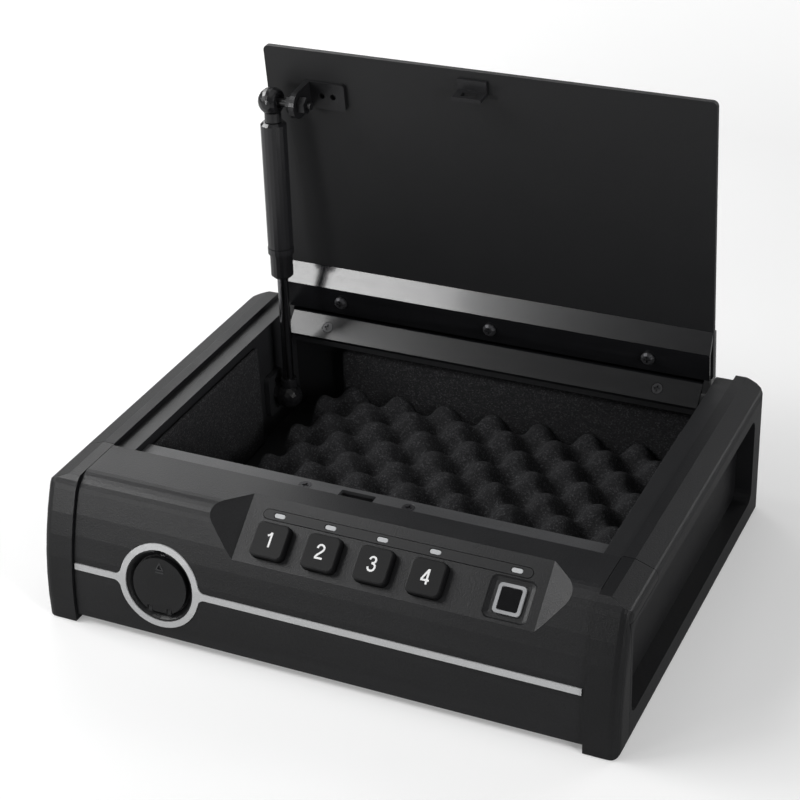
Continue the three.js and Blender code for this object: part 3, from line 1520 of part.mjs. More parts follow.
piece(safe, 'tub', makeTub(), 'steel');
piece(safe, 'front_bulkhead', makeBulkhead(), 'steel');
piece(safe, 'latch_strip', makeLatchStrip(), 'steel');
const rightCap = makeCap();
const rightRail = makeRail();
piece(safe, 'corner_cap_right', rightCap, 'moulding');
piece(safe, 'corner_cap_left', mirrored(rightCap), 'moulding');
piece(safe, 'side_rail_right', rightRail, 'rail');
piece(safe, 'side_rail_left', mirrored(rightRail), 'rail');
piece(safe, 'front_fascia', makeFascia(), 'moulding');
piece(safe, 'accent_stripe', makeStripe(), 'silver');
['left', 'right'].forEach((side, i) => {
  const screw = flatScrew(stripScrewHead, stripScrewShank, stripScrewSink, stripScrewLength)
    .translate([stripScrewXs[i], stripScrewY, stripTop]);
  piece(safe, `latch_strip_screw_${side}`, screw, 'zinc');
});

const panel = framed(safe, panelFrame);
keyNumbers.forEach((i) => piece(panel, `key_${i + 1}`, makeKey(i), 'black'));
piece(panel, 'light_bar', makeLightBar(), 'black');
piece(panel, 'light_pipe', makeLightPipe(), 'lamp');
piece(panel, 'sensor_bezel', makeBezel(), 'chrome');
piece(panel, 'sensor_glass', makeGlass(), 'glass');
piece(panel, 'control_board', makeBoard(), 'board');

const lock = framed(safe, lockFrame);
piece(lock, 'key_cover', makeKeyCover(), 'moulding');
piece(lock, 'key_lock_body', makeLockBody(), 'zinc');
piece(lock, 'key_lock_plug', makeLockPlug(), 'chrome');
piece(lock, 'key_lock_cam', makeLockCam(), 'zinc');

piece(safe, 'latch_bolt', makeBolt(), 'zinc');
piece(safe, 'latch_frame', makeLatchFrame(), 'zinc');
piece(safe, 'solenoid_body', makeSolenoid(), 'zinc');
piece(safe, 'solenoid_plunger', makePlunger(), 'chrome');
piece(safe, 'battery_box', makeBatteryBox(), 'black');
piece(safe, 'battery_cover', makeBatteryCover(), 'black');
piece(safe, 'battery_cover_screw', makeBatteryScrew(), 'zinc');

piece(safe, 'foam_base', makeEggCrateFoam(), 'foam');
piece(safe, 'foam_left', makeSideFoam(-1), 'foam');
piece(safe, 'foam_right', makeSideFoam(1), 'foam');
piece(safe, 'foam_rear', makeRearFoam(), 'foam');

piece(safe, 'hinge_core_bar', makeHingeCore(), 'steel');
piece(safe, 'hinge_cover_rail', makeCoverRail(), 'gloss');
[['left', -1], ['right', 1]].forEach(([name, side]) => {
  piece(safe, `hinge_cover_screw_${name}`, makeCoverRailScrew(side), 'zinc');
  piece(safe, `hinge_pin_${name}`, makeHingePin(side), 'chrome');
});

const lid = framed(safe, frameAt(0, hingeY, hingeZ, -openAngle));
piece(lid, 'lid_plate', makeLidPlate(), 'steel');
piece(lid, 'lid_hinge_rail', makeLidRail(), 'gloss');
['left', 'middle', 'right'].forEach((name, i) =>
  piece(lid, `lid_rail_screw_${name}`, makeLidScrew(lidScrewXs[i]), 'zinc'));
piece(lid, 'striker', makeStriker(), 'zinc');
piece(lid, 'strut_upper_bracket', makeUpperBracket(), 'steel');
piece(lid, 'strut_upper_nut', makeUpperNut(), 'zinc');

const strut = framed(safe, frameAt(strutX, strutLowerY, strutLowerZ, -strutLean()));
piece(strut, 'strut_lower_socket', makeLowerSocket(), 'black');
piece(strut, 'strut_rod', makeRod(), 'chrome');
piece(strut, 'strut_gland', makeGland(), 'black');
piece(strut, 'strut_tube', makeTube(), 'black');
piece(strut, 'strut_upper_socket', makeUpperSocket(), 'black');
piece(strut, 'strut_upper_stud', makeUpperStud(), 'zinc');
piece(strut, 'strut_lower_stud', makeLowerStud(), 'zinc');
piece(safe, 'strut_lower_bracket', makeLowerBracket(), 'steel');

export default safe;
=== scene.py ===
"""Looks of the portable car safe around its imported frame: materials, foam, numerals, light and camera."""

import json
import math

import bmesh
import bpy
from mathutils import Matrix, Vector, noise


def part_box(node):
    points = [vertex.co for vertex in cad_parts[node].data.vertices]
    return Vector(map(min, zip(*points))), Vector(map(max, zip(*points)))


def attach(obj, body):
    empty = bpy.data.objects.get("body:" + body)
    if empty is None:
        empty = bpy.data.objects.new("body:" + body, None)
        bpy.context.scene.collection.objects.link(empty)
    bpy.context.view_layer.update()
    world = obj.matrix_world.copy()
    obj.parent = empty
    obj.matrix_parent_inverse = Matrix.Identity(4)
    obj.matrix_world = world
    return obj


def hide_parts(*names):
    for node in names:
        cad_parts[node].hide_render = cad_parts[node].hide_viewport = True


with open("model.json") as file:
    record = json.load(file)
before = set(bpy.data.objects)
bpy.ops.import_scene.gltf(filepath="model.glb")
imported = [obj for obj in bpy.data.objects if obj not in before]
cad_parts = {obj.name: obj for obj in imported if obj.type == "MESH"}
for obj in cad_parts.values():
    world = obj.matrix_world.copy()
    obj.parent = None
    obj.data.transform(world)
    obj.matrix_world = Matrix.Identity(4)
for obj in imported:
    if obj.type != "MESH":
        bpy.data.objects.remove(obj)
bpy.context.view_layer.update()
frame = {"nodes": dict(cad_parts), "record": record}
nodes = frame["nodes"]
MM = 0.001
KEY_NUMBERS = (1, 2, 3, 4)

# Camera, at the photograph's viewing angle
PHOTO_PIXELS = 800
FOCAL_PIXELS = 1997.18
SENSOR = 36.0
CAMERA_PLACE = (0.37298, -0.78057, 0.59246)
CAMERA_YAW = math.radians(25.893)
CAMERA_PITCH = math.radians(29.984)
CAMERA_ROLL = math.radians(-2.432)

# Directions of the panel that carries the keys, and of the key cover on the face
PANEL_SLOPE = math.radians(39)
PANEL_OUT = Vector((0, -math.sin(PANEL_SLOPE), math.cos(PANEL_SLOPE)))
PANEL_UP = Vector((0, math.cos(PANEL_SLOPE), math.sin(PANEL_SLOPE)))
COVER_UP = Vector((0, 0.172903, 0.984939))
COVER_OUT = Vector((0, -0.984939, 0.172903))


# Materials: noises and cells repeat so many times a metre, colours are linear, and stops are
# (place on the ramp, share of the colour) pairs

WHITE = (1.0, 1.0, 1.0)
WEAR_RANGE = (0.53, 0.62)
PLASTIC_CLOUD = 35.0
PLASTIC_WORN = 2.2
PLASTIC_RELIEF = 0.16 * MM
COAT_CLOUD = 50.0
COAT_SPECK_SHARE = 1.6
COAT_WORN = 2.0
COAT_WEAR = 0.2
COAT_RELIEF = 0.1 * MM
GLOSS_SMEAR = 90.0
GLOSS_WAVE = 14.0
GLOSS_STRETCH = (1, 4, 4)
GLOSS_SPECULAR = 0.6
GLOSS_COAT_ROUGHNESS = 0.08
DRAWN_TURN = 0.25
GLOSS_WORN = 4.0
GLOSS_WEAR = 0.35
GLOSS_RELIEF = 0.4 * MM
METAL_LINES = 60.0
METAL_CLOUD = 120.0
METAL_RELIEF = 0.03 * MM
PAINT_FLAKE = 4200.0
PAINT_CLOUD = 60.0
PAINT_METALLIC = 0.2
PAINT_ROUGH = (0.3, 0.42)
PAINT_RELIEF = 0.04 * MM
GLASS_SMEAR = 260.0
GLASS_ROUGH = (0.05, 0.16)
GLASS_COAT = 0.6
GLASS_COAT_ROUGHNESS = 0.04
GLASS_RELIEF = 0.2 * MM
LENS_CLOUD = 700.0
LENS_ROUGH = (0.25, 0.4)
LENS_RELIEF = 0.05 * MM
FOAM_CELLS = 1500.0
FOAM_FINE = 1300.0
FOAM_COARSE = 500.0
FOAM_STOPS = ((0.0, 0.7), (0.6, 0.95), (0.85, 1.35), (1.0, 2.2))
FOAM_DULLNESS = 0.95
FOAM_SPECULAR = 0.12
FOAM_RELIEF = 0.6 * MM
BOARD_TRACKS = 220.0
BOARD_FINE = 900.0
BOARD_ROUGH = (0.3, 0.45)
BOARD_RELIEF = 0.1 * MM
INK_GRAIN = 1800.0
INK_ROUGH = (0.4, 0.6)
INK_RELIEF = 0.03 * MM


def tree(name):
    material = bpy.data.materials.new(name)
    material.use_nodes = True
    shader = material.node_tree.nodes["Principled BSDF"]
    return material, material.node_tree, shader


def add(nodetree, kind, **values):
    """A new node, with its own settings and its sockets' values by name."""
    node = nodetree.nodes.new(kind)
    for key, value in values.items():
        if hasattr(node, key):
            setattr(node, key, value)
        else:
            node.inputs[key].default_value = value
    return node


def object_coordinates(nodetree, stretch=(1, 1, 1)):
    place = add(nodetree, "ShaderNodeTexCoord")
    mapping = add(nodetree, "ShaderNodeMapping", Scale=stretch)
    nodetree.links.new(place.outputs["Object"], mapping.inputs["Vector"])
    return mapping.outputs["Vector"]


def noise_of(nodetree, vector, scale, detail=2.0, roughness=0.5):
    texture = add(nodetree, "ShaderNodeTexNoise", Scale=scale, Detail=detail, Roughness=roughness)
    nodetree.links.new(vector, texture.inputs["Vector"])
    return texture.outputs["Fac"]


def scaled(color, factor):
    return tuple(min(channel * factor, 1.0) for channel in color)


def tones(nodetree, value, color, *stops):
    """A ramp through shares of one colour."""
    node = add(nodetree, "ShaderNodeValToRGB")
    elements = node.color_ramp.elements
    while len(elements) < len(stops):
        elements.new(0.5)
    for element, (place, share) in zip(elements, stops):
        element.position = place
        element.color = (*scaled(color, share), 1.0)
    nodetree.links.new(value, node.inputs["Fac"])
    return node.outputs["Color"]


def remap(nodetree, value, low, high):
    node = add(nodetree, "ShaderNodeMapRange", **{"To Min": low, "To Max": high})
    nodetree.links.new(value, node.inputs["Value"])
    return node.outputs["Result"]


def surface(nodetree, shader, color, value, rough):
    """Feeds the colour, and a roughness that a value carries from rough's low end to its high end."""
    nodetree.links.new(color, shader.inputs["Base Color"])
    nodetree.links.new(remap(nodetree, value, *rough), shader.inputs["Roughness"])


def bump(nodetree, shader, heights, strength, distance):
    """Chains bumps from (height, strength share) pairs into the shader's normal."""
    normal = None
    for height, share in heights:
        node = add(nodetree, "ShaderNodeBump", Strength=strength * share, Distance=distance)
        nodetree.links.new(height, node.inputs["Height"])
        if normal:
            nodetree.links.new(normal, node.inputs["Normal"])
        normal = node.outputs["Normal"]
    nodetree.links.new(normal, shader.inputs["Normal"])


def edge_wear(nodetree, color_socket, light, amount):
    """Lightens convex edges a little, as handling does, by the mesh's pointiness."""
    geometry = add(nodetree, "ShaderNodeNewGeometry")
    span = {"From Min": WEAR_RANGE[0], "From Max": WEAR_RANGE[1], "To Max": amount}
    mask = add(nodetree, "ShaderNodeMapRange", **span)
    nodetree.links.new(geometry.outputs["Pointiness"], mask.inputs["Value"])
    mix = add(nodetree, "ShaderNodeMix", data_type="RGBA")
    nodetree.links.new(mask.outputs["Result"], mix.inputs["Factor"])
    nodetree.links.new(color_socket, mix.inputs["A"])
    mix.inputs["B"].default_value = (*light, 1.0)
    return mix.outputs["Result"]


def moulded_plastic(name, color, grain=1200.0, relief=0.7, rough=(0.42, 0.6), wear=0.25, gloss=0.42):
    """Spark-eroded moulding texture: a fine leathery grain, slight mottling and soft edge wear."""
    material, net, shader = tree(name)
    vector = object_coordinates(net)
    fine = noise_of(net, vector, grain, detail=3.0, roughness=0.6)
    cloud = noise_of(net, vector, PLASTIC_CLOUD, detail=4.0, roughness=0.6)
    tone = add(net, "ShaderNodeMix", data_type="RGBA", blend_type="MULTIPLY")
    tone.inputs["Factor"].default_value = 1.0
    net.links.new(tones(net, cloud, color, (0.3, 0.9), (0.7, 1.1)), tone.inputs["A"])
    net.links.new(tones(net, fine, WHITE, (0.35, 0.55), (0.65, 1.0)), tone.inputs["B"])
    worn = edge_wear(net, tone.outputs["Result"], scaled(color, PLASTIC_WORN), wear)
    surface(net, shader, worn, cloud, rough)
    shader.inputs["Specular IOR Level"].default_value = gloss
    bump(net, shader, [(fine, 1.0), (cloud, 0.15)], relief, PLASTIC_RELIEF)
    return material


def powder_coat(name, color, grain=1500.0, relief=0.35, rough=(0.38, 0.52)):
    """Textured powder coat: rounded pimples two thirds of a millimetre apart, with a satin sheen."""
    material, net, shader = tree(name)
    vector = object_coordinates(net)
    cells = add(net, "ShaderNodeTexVoronoi", feature="SMOOTH_F1", Scale=grain)
    net.links.new(vector, cells.inputs["Vector"])
    cloud = noise_of(net, vector, COAT_CLOUD, detail=4.0, roughness=0.6)
    speck = noise_of(net, vector, grain * COAT_SPECK_SHARE)
    base = tones(net, speck, color, (0.35, 0.82), (0.68, 1.2))
    worn = edge_wear(net, base, scaled(color, COAT_WORN), COAT_WEAR)
    surface(net, shader, worn, cloud, rough)
    bump(net, shader, [(cells.outputs["Distance"], 1.0), (speck, 0.4)], relief, COAT_RELIEF)
    return material


def plain_gloss(name, color, rough, coat=0.3, metallic=0.0, drawn=0.0):
    """Smooth coated metal with faint smears and a long soft waviness; drawn stretches gloss along a tube."""
    material, net, shader = tree(name)
    vector = object_coordinates(net, GLOSS_STRETCH)
    smear = noise_of(net, vector, GLOSS_SMEAR, detail=5.0, roughness=0.65)
    wave = noise_of(net, vector, GLOSS_WAVE)
    base = tones(net, smear, color, (0.3, 0.92), (0.7, 1.08))
    worn = edge_wear(net, base, scaled(color, GLOSS_WORN), GLOSS_WEAR)
    surface(net, shader, worn, smear, rough)
    shader.inputs["Metallic"].default_value = metallic
    shader.inputs["Specular IOR Level"].default_value = GLOSS_SPECULAR
    shader.inputs["Anisotropic"].default_value = drawn
    shader.inputs["Anisotropic Rotation"].default_value = DRAWN_TURN
    shader.inputs["Coat Weight"].default_value = coat
    shader.inputs["Coat Roughness"].default_value = GLOSS_COAT_ROUGHNESS
    bump(net, shader, [(wave, 1.0), (smear, 0.1)], 0.04, GLOSS_RELIEF)
    return material


def brushed_metal(name, color, rough=(0.22, 0.42), stretch=(1, 1, 1), scratch=0.3, metallic=1.0):
    """Plated or ground metal; a stretch draws its fine lines out along one direction."""
    material, net, shader = tree(name)
    lines = noise_of(net, object_coordinates(net, stretch), METAL_LINES, detail=4.0, roughness=0.7)
    cloud = noise_of(net, object_coordinates(net), METAL_CLOUD, detail=3.0)
    surface(net, shader, tones(net, lines, color, (0.3, 0.85), (0.7, 1.1)), cloud, rough)
    shader.inputs["Metallic"].default_value = metallic
    bump(net, shader, [(lines, 1.0)], scratch, METAL_RELIEF)
    return material


def silver_paint(name, color):
    """Fine metallic flake paint on a moulding."""
    material, net, shader = tree(name)
    vector = object_coordinates(net)
    flake = noise_of(net, vector, PAINT_FLAKE, detail=1.0, roughness=0.4)
    cloud = noise_of(net, vector, PAINT_CLOUD, detail=3.0)
    surface(net, shader, tones(net, flake, color, (0.35, 0.9), (0.65, 1.08)), cloud, PAINT_ROUGH)
    shader.inputs["Metallic"].default_value = PAINT_METALLIC
    bump(net, shader, [(flake, 1.0)], 0.1, PAINT_RELIEF)
    return material


def window_glass(name, color):
    """Black scratch-resistant window with faint finger smears."""
    material, net, shader = tree(name)
    smear = noise_of(net, object_coordinates(net), GLASS_SMEAR, detail=5.0, roughness=0.7)
    surface(net, shader, tones(net, smear, color, (0.35, 1.0), (0.75, 1.6)), smear, GLASS_ROUGH)
    shader.inputs["Coat Weight"].default_value = GLASS_COAT
    shader.inputs["Coat Roughness"].default_value = GLASS_COAT_ROUGHNESS
    bump(net, shader, [(smear, 1.0)], 0.02, GLASS_RELIEF)
    return material


def lens_plastic(name, color, glow):
    """Milky light pipe, faintly lit."""
    material, net, shader = tree(name)
    cloud = noise_of(net, object_coordinates(net), LENS_CLOUD)
    base = tones(net, cloud, color, (0.3, 0.93), (0.7, 1.0))
    surface(net, shader, base, cloud, LENS_ROUGH)
    net.links.new(base, shader.inputs["Emission Color"])
    shader.inputs["Emission Strength"].default_value = glow
    bump(net, shader, [(cloud, 1.0)], 0.05, LENS_RELIEF)
    return material


def open_cell_foam(name, color):
    """Open-cell polyurethane foam: pits of many sizes, and a cell wall here and there that shines paler."""
    material, net, shader = tree(name)
    vector = object_coordinates(net)
    pits = add(net, "ShaderNodeTexVoronoi", Scale=FOAM_CELLS)
    net.links.new(vector, pits.inputs["Vector"])
    fine = noise_of(net, vector, FOAM_FINE, detail=3.0, roughness=0.75)
    coarse = noise_of(net, vector, FOAM_COARSE, detail=4.0, roughness=0.7)
    glint = add(net, "ShaderNodeSeparateColor")
    net.links.new(pits.outputs["Color"], glint.inputs["Color"])
    base = tones(net, glint.outputs["Red"], color, *FOAM_STOPS)
    net.links.new(base, shader.inputs["Base Color"])
    shader.inputs["Roughness"].default_value = FOAM_DULLNESS
    shader.inputs["Specular IOR Level"].default_value = FOAM_SPECULAR
    heights = [(pits.outputs["Distance"], 0.8), (fine, 0.6), (coarse, 0.5)]
    bump(net, shader, heights, 0.8, FOAM_RELIEF)
    return material


def circuit_board(name, color):
    """Solder mask with a grid of faint tracks under it."""
    material, net, shader = tree(name)
    vector = object_coordinates(net)
    tracks = add(
        net, "ShaderNodeTexBrick", Scale=BOARD_TRACKS, Color1=(*color, 1.0),
        Color2=(*scaled(color, 0.85), 1.0), Mortar=(*scaled(color, 1.5), 1.0),
    )
    net.links.new(vector, tracks.inputs["Vector"])
    surface(net, shader, tracks.outputs["Color"], noise_of(net, vector, BOARD_FINE), BOARD_ROUGH)
    bump(net, shader, [(tracks.outputs["Fac"], 1.0)], 0.1, BOARD_RELIEF)
    return material


def numeral_ink():
    """White print on a key, worn a little unevenly."""
    material, net, shader = tree("numeral_ink")
    wear = noise_of(net, object_coordinates(net), INK_GRAIN, detail=3.0, roughness=0.6)
    surface(net, shader, tones(net, wear, WHITE, (0.25, 0.62), (0.6, 0.86)), wear, INK_ROUGH)
    bump(net, shader, [(wear, 1.0)], 0.1, INK_RELIEF)
    return material


FINISHES = {
    "tub_steel": powder_coat("tub_steel", (0.016, 0.0163, 0.0175)),
    "strip_steel": powder_coat("strip_steel", (0.059, 0.0595, 0.062)),
    "lid_steel": powder_coat("lid_steel", (0.0105, 0.0107, 0.0115), rough=(0.42, 0.55)),
    "cap_plastic": moulded_plastic("cap_plastic", (0.0072, 0.0074, 0.0082), rough=(0.36, 0.46)),
    "rail_plastic": moulded_plastic("rail_plastic", (0.0085, 0.0087, 0.0096), rough=(0.42, 0.54)),
    "fascia_plastic": moulded_plastic("fascia_plastic", (0.0118, 0.0120, 0.0131), rough=(0.38, 0.48)),
    "silver_trim": silver_paint("silver_trim", (0.61, 0.615, 0.62)),
    "black_screw": brushed_metal("black_screw", (0.075, 0.075, 0.08), rough=(0.4, 0.55), metallic=0.8),
    "key_plastic": moulded_plastic(
        "key_plastic", (0.0055, 0.0056, 0.0062), grain=3200.0, relief=0.15, rough=(0.5, 0.62), gloss=0.27,
    ),
    "smoked_plastic": moulded_plastic("smoked_plastic", (0.011, 0.0112, 0.0122), relief=0.12, wear=0.0),
    "lens_plastic": lens_plastic("lens_plastic", (0.50, 0.51, 0.52), glow=0.02),
    "bezel_chrome": brushed_metal(
        "bezel_chrome", (0.78, 0.79, 0.81), rough=(0.08, 0.16), scratch=0.05, metallic=0.6,
    ),
    "sensor_window": window_glass("sensor_window", (0.003, 0.003, 0.0035)),
    "board_plastic": circuit_board("board_plastic", (0.02, 0.11, 0.05)),
    "lock_metal": brushed_metal("lock_metal", (0.42, 0.42, 0.44)),
    "lock_chrome": brushed_metal("lock_chrome", (0.62, 0.63, 0.65), rough=(0.12, 0.26)),
    "latch_steel": brushed_metal("latch_steel", (0.30, 0.30, 0.32), stretch=(1, 12, 1)),
    "box_plastic": moulded_plastic("box_plastic", (0.010, 0.010, 0.011)),
    "foam": open_cell_foam("foam", (0.030, 0.0301, 0.0318)),
    "hinge_gloss": plain_gloss("hinge_gloss", (0.004, 0.0041, 0.0046), rough=(0.21, 0.26), coat=0.2),
    "strut_black": plain_gloss("strut_black", (0.008, 0.008, 0.0088), rough=(0.2, 0.26), drawn=0.8),
    "rod_chrome": brushed_metal("rod_chrome", (0.25, 0.25, 0.26), rough=(0.14, 0.24), stretch=(1, 1, 30)),
}
# Plated fixings that the maker blackens like the sheet around them
BLACKENED = plain_gloss("blackened_steel", (0.012, 0.012, 0.013), rough=(0.3, 0.45), coat=0.1, metallic=0.4)
BLACKENED_NODES = {
    "striker", "strut_upper_stud", "strut_upper_nut", "strut_lower_stud", "strut_upper_bracket",
    "hinge_cover_screw_left", "hinge_cover_screw_right",
}
NODE_SLOT = {entry["node"]: entry["material_slot"] for entry in frame["record"]["subparts"]}


# Carried-over solids: finishes, softened edges and even shading

SMOOTH_ANGLE = math.radians(32)
EDGE_ROUND = 0.25 * MM
EDGE_ROUNDS = {f"key_{number}": 0.6 * MM for number in KEY_NUMBERS}
EDGE_ROUNDS["hinge_cover_rail"] = 0.5 * MM
EDGE_ROUNDS["sensor_bezel"] = 0.4 * MM
EDGE_STEPS = 3
EDGE_ANGLE = math.radians(40)
FLAT_FACE_WEIGHT = 50
UNBEVELLED = {
    "front_fascia", "tub", "lid_hinge_rail", "light_bar", "battery_box", "control_board", "latch_frame",
    "corner_cap_left", "corner_cap_right", "side_rail_left", "side_rail_right",
}

# Mouldings whose broad curves are shaded from facet to facet
CURVED = {"front_fascia", "corner_cap_left", "corner_cap_right"}


def dress(name, item):
    item.data.materials.clear()
    finish = BLACKENED if name in BLACKENED_NODES else FINISHES[NODE_SLOT[name]]
    item.data.materials.append(finish)
    for face in item.data.polygons:
        face.use_smooth = True
    item.data.set_sharp_from_angle(angle=SMOOTH_ANGLE)
    if name not in UNBEVELLED:
        bevel = item.modifiers.new("edges", "BEVEL")
        bevel.width = EDGE_ROUNDS.get(name, EDGE_ROUND)
        bevel.segments = EDGE_STEPS
        bevel.limit_method = "ANGLE"
        bevel.angle_limit = EDGE_ANGLE
        bevel.harden_normals = True
    if name not in CURVED:
        weighted = item.modifiers.new("shading", "WEIGHTED_NORMAL")
        weighted.keep_sharp = True
        weighted.weight = FLAT_FACE_WEIGHT


# Pieces of the scene's own

def new_item(name, data):
    item = bpy.data.objects.new(name, data)
    bpy.context.collection.objects.link(item)
    return item


def new_piece(name, shape, finish, body, smooth=False, place=None):
    """A piece from a bmesh, with its finish, that rides a body."""
    bmesh.ops.recalc_face_normals(shape, faces=shape.faces)
    mesh = bpy.data.meshes.new(name)
    shape.to_mesh(mesh)
    shape.free()
    for face in mesh.polygons:
        face.use_smooth = smooth
    mesh.materials.append(finish)
    item = new_item(name, mesh)
    if place:
        item.matrix_world = place
    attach(item, body)
    return item


def place_on(point, up, out):
    """The placing that lays x across, y along up and z along out, at a point."""
    turn = Matrix((Vector((1, 0, 0)), up, out)).transposed().to_4x4()
    return Matrix.Translation(point) @ turn


# Foam lining, cut with a profiling blade: an egg-crate floor and plain liners with torn-soft edges

FOAM_STEP = 1.4 * MM
EGG_PERIOD_X = 28.5 * MM
EGG_PERIOD_Y = 34.0 * MM
EGG_PEAK_SHARE = 0.9
EGG_VALLEY_SHARE = 0.42
EGG_DOME_POWER = 1.35
EDGE_ROLL = 3.0 * MM
EDGE_ROLL_DROP = 0.4 * EDGE_ROLL
LINER_CELL = 1.8 * MM
FOAM_ROUGHNESS = 0.35 * MM
FOAM_NOISE_SCALE = 260.0


def egg_crate():
    low, high = (Vector(corner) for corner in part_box("foam_base"))
    size = high - low
    columns = round(size.x / FOAM_STEP)
    rows = round(size.y / FOAM_STEP)
    valley = low.z + size.z * EGG_VALLEY_SHARE
    rise = (high.z - valley) * EGG_PEAK_SHARE
    data = bmesh.new()

    def height(x, y):
        across = math.cos(2 * math.pi * (x - low.x) / EGG_PERIOD_X)
        wave = across * math.cos(2 * math.pi * (y - low.y) / EGG_PERIOD_Y)
        dome = 1 - ((1 - wave) / 2) ** EGG_DOME_POWER
        edge = min(x - low.x, high.x - x, y - low.y, high.y - y)
        roll = max(0.0, 1 - edge / EDGE_ROLL) ** 2 * EDGE_ROLL_DROP
        rough = noise.noise(Vector((x, y, 0)) * FOAM_NOISE_SCALE) * FOAM_ROUGHNESS
        return valley + rise * dome - roll + rough

    grid = []
    for row in range(rows + 1):
        y = low.y + row / rows * size.y
        places = [low.x + column / columns * size.x for column in range(columns + 1)]
        grid.append([data.verts.new((x, y, height(x, y))) for x in places])
    for near, far in zip(grid, grid[1:]):
        for column in range(columns):
            data.faces.new((near[column], near[column + 1], far[column + 1], far[column]))
    rim = [edge for edge in data.edges if edge.is_boundary]
    skirt = bmesh.ops.extrude_edge_only(data, edges=rim)["geom"]
    for vertex in (part for part in skirt if isinstance(part, bmesh.types.BMVert)):
        vertex.co.z = low.z
    bmesh.ops.contextual_create(data, geom=[edge for edge in data.edges if edge.is_boundary])
    item = new_piece("egg_crate_foam", data, FINISHES["foam"], "case", smooth=True)
    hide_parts("foam_base")


def liner(node, name):
    """A sheet of foam cut from the solid's own outline, remeshed fine and roughened."""
    item = nodes[node].copy()
    item.data = nodes[node].data.copy()
    item.name = name
    item.data.name = name
    bpy.context.collection.objects.link(item)
    item.modifiers.clear()
    bpy.context.view_layer.objects.active = item
    remesh = item.modifiers.new("cells", "REMESH")
    remesh.mode = "VOXEL"
    remesh.voxel_size = LINER_CELL
    applied = item.evaluated_get(bpy.context.evaluated_depsgraph_get())
    mesh = bpy.data.meshes.new_from_object(applied)
    item.modifiers.clear()
    item.data = mesh
    for vertex in mesh.vertices:
        inward = vertex.normal * -1
        push = (0.5 + 0.5 * noise.noise(vertex.co * FOAM_NOISE_SCALE)) * FOAM_ROUGHNESS
        vertex.co += inward * push
    for face in mesh.polygons:
        face.use_smooth = True
    mesh.materials.clear()
    mesh.materials.append(FINISHES["foam"])
    item.parent = None
    item.matrix_world = Matrix.Identity(4)
    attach(item, "case")
    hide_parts(node)


# Numerals on the keys

NUMERAL_HEIGHT = 7.4 * MM
NUMERAL_STROKE = 1.0 * MM
NUMERAL_RAISE = 0.05 * MM
# Each further stroke lies this share higher, so that no two tops share a plane where they cross
NUMERAL_STEP_SHARE = 0.2
NUMERAL_SINK = 0.12 * MM
NUMERAL_MIDDLE = (0.28, 0.5)
TOP_FACE_DEPTH = 0.1 * MM
# Pen strokes of the numerals, in shares of their height
NUMERAL_STROKES = {
    1: [[(0.10, 0.76), (0.22, 0.82), (0.31, 0.90), (0.36, 1.0)], [(0.36, 1.0), (0.36, 0.0)]],
    2: [
        [(0.04, 0.70), (0.06, 0.82), (0.14, 0.92), (0.27, 0.955), (0.40, 0.92), (0.49, 0.82), (0.50, 0.70),
         (0.44, 0.57), (0.32, 0.44), (0.16, 0.28), (0.07, 0.16), (0.04, 0.06)],
        [(0.0, 0.065), (0.54, 0.065)],
    ],
    3: [
        [(0.04, 0.76), (0.09, 0.88), (0.18, 0.945), (0.28, 0.955), (0.39, 0.92), (0.46, 0.81), (0.45, 0.68),
         (0.37, 0.58), (0.22, 0.545)],
        [(0.22, 0.545), (0.37, 0.52), (0.48, 0.43), (0.51, 0.29), (0.46, 0.14), (0.36, 0.06), (0.25, 0.045),
         (0.13, 0.08), (0.06, 0.16), (0.03, 0.27)],
    ],
    4: [[(0.42, 0.0), (0.42, 1.0)], [(0.40, 0.96), (0.05, 0.30)], [(0.0, 0.265), (0.57, 0.265)]],
}


def top_centre(node):
    """The middle of a key's top face, at its highest point along the panel's normal."""
    points = [vertex.co for vertex in nodes[node].data.vertices]
    top = max(point.dot(PANEL_OUT) for point in points)
    face = [point for point in points if point.dot(PANEL_OUT) > top - TOP_FACE_DEPTH]
    middle = sum(face, Vector()) / len(face)
    return middle + PANEL_OUT * (top - middle.dot(PANEL_OUT))


def stroke_outline(points, half):
    """The outline of a pen stroke of even width: its left edge out, and its right edge back."""
    left = []
    right = []
    for place, point in enumerate(points):
        before = Vector(points[max(place - 1, 0)])
        after = Vector(points[min(place + 1, len(points) - 1)])
        along = (after - before).normalized()
        across = Vector((-along.y, along.x)) * half
        left.append(Vector(point) + across)
        right.append(Vector(point) - across)
    return left + right[::-1]


def wall(shape, upper, lower):
    """Faces between two rings of vertices."""
    for step in range(len(upper)):
        following = (step + 1) % len(upper)
        shape.faces.new((upper[step], lower[step], lower[following], upper[following]))


def numeral(index, ink):
    half = NUMERAL_STROKE / NUMERAL_HEIGHT / 2
    data = bmesh.new()
    for order, stroke in enumerate(NUMERAL_STROKES[index]):
        outline = stroke_outline(stroke, half)
        lift = NUMERAL_RAISE * (1 + order * NUMERAL_STEP_SHARE)
        layers = []
        for level in (lift, lift - NUMERAL_SINK):
            layers.append([
                data.verts.new((
                    (point.x - NUMERAL_MIDDLE[0]) * NUMERAL_HEIGHT,
                    (point.y - NUMERAL_MIDDLE[1]) * NUMERAL_HEIGHT,
                    level,
                ))
                for point in outline
            ])
        top, bottom = layers
        for step in range(len(stroke) - 1):
            far = len(top) - 1 - step
            data.faces.new((top[step], top[step + 1], top[far - 1], top[far]))
            data.faces.new((bottom[far], bottom[far - 1], bottom[step + 1], bottom[step]))
        wall(data, top, bottom)
    place = place_on(top_centre(f"key_{index}"), PANEL_UP, PANEL_OUT)
    new_piece(f"numeral_{index}", data, ink, f"button_{index}", place=place)


# Raised pointer on the key cover: an outline round its sunken triangle, and a bar where a thumb pushes

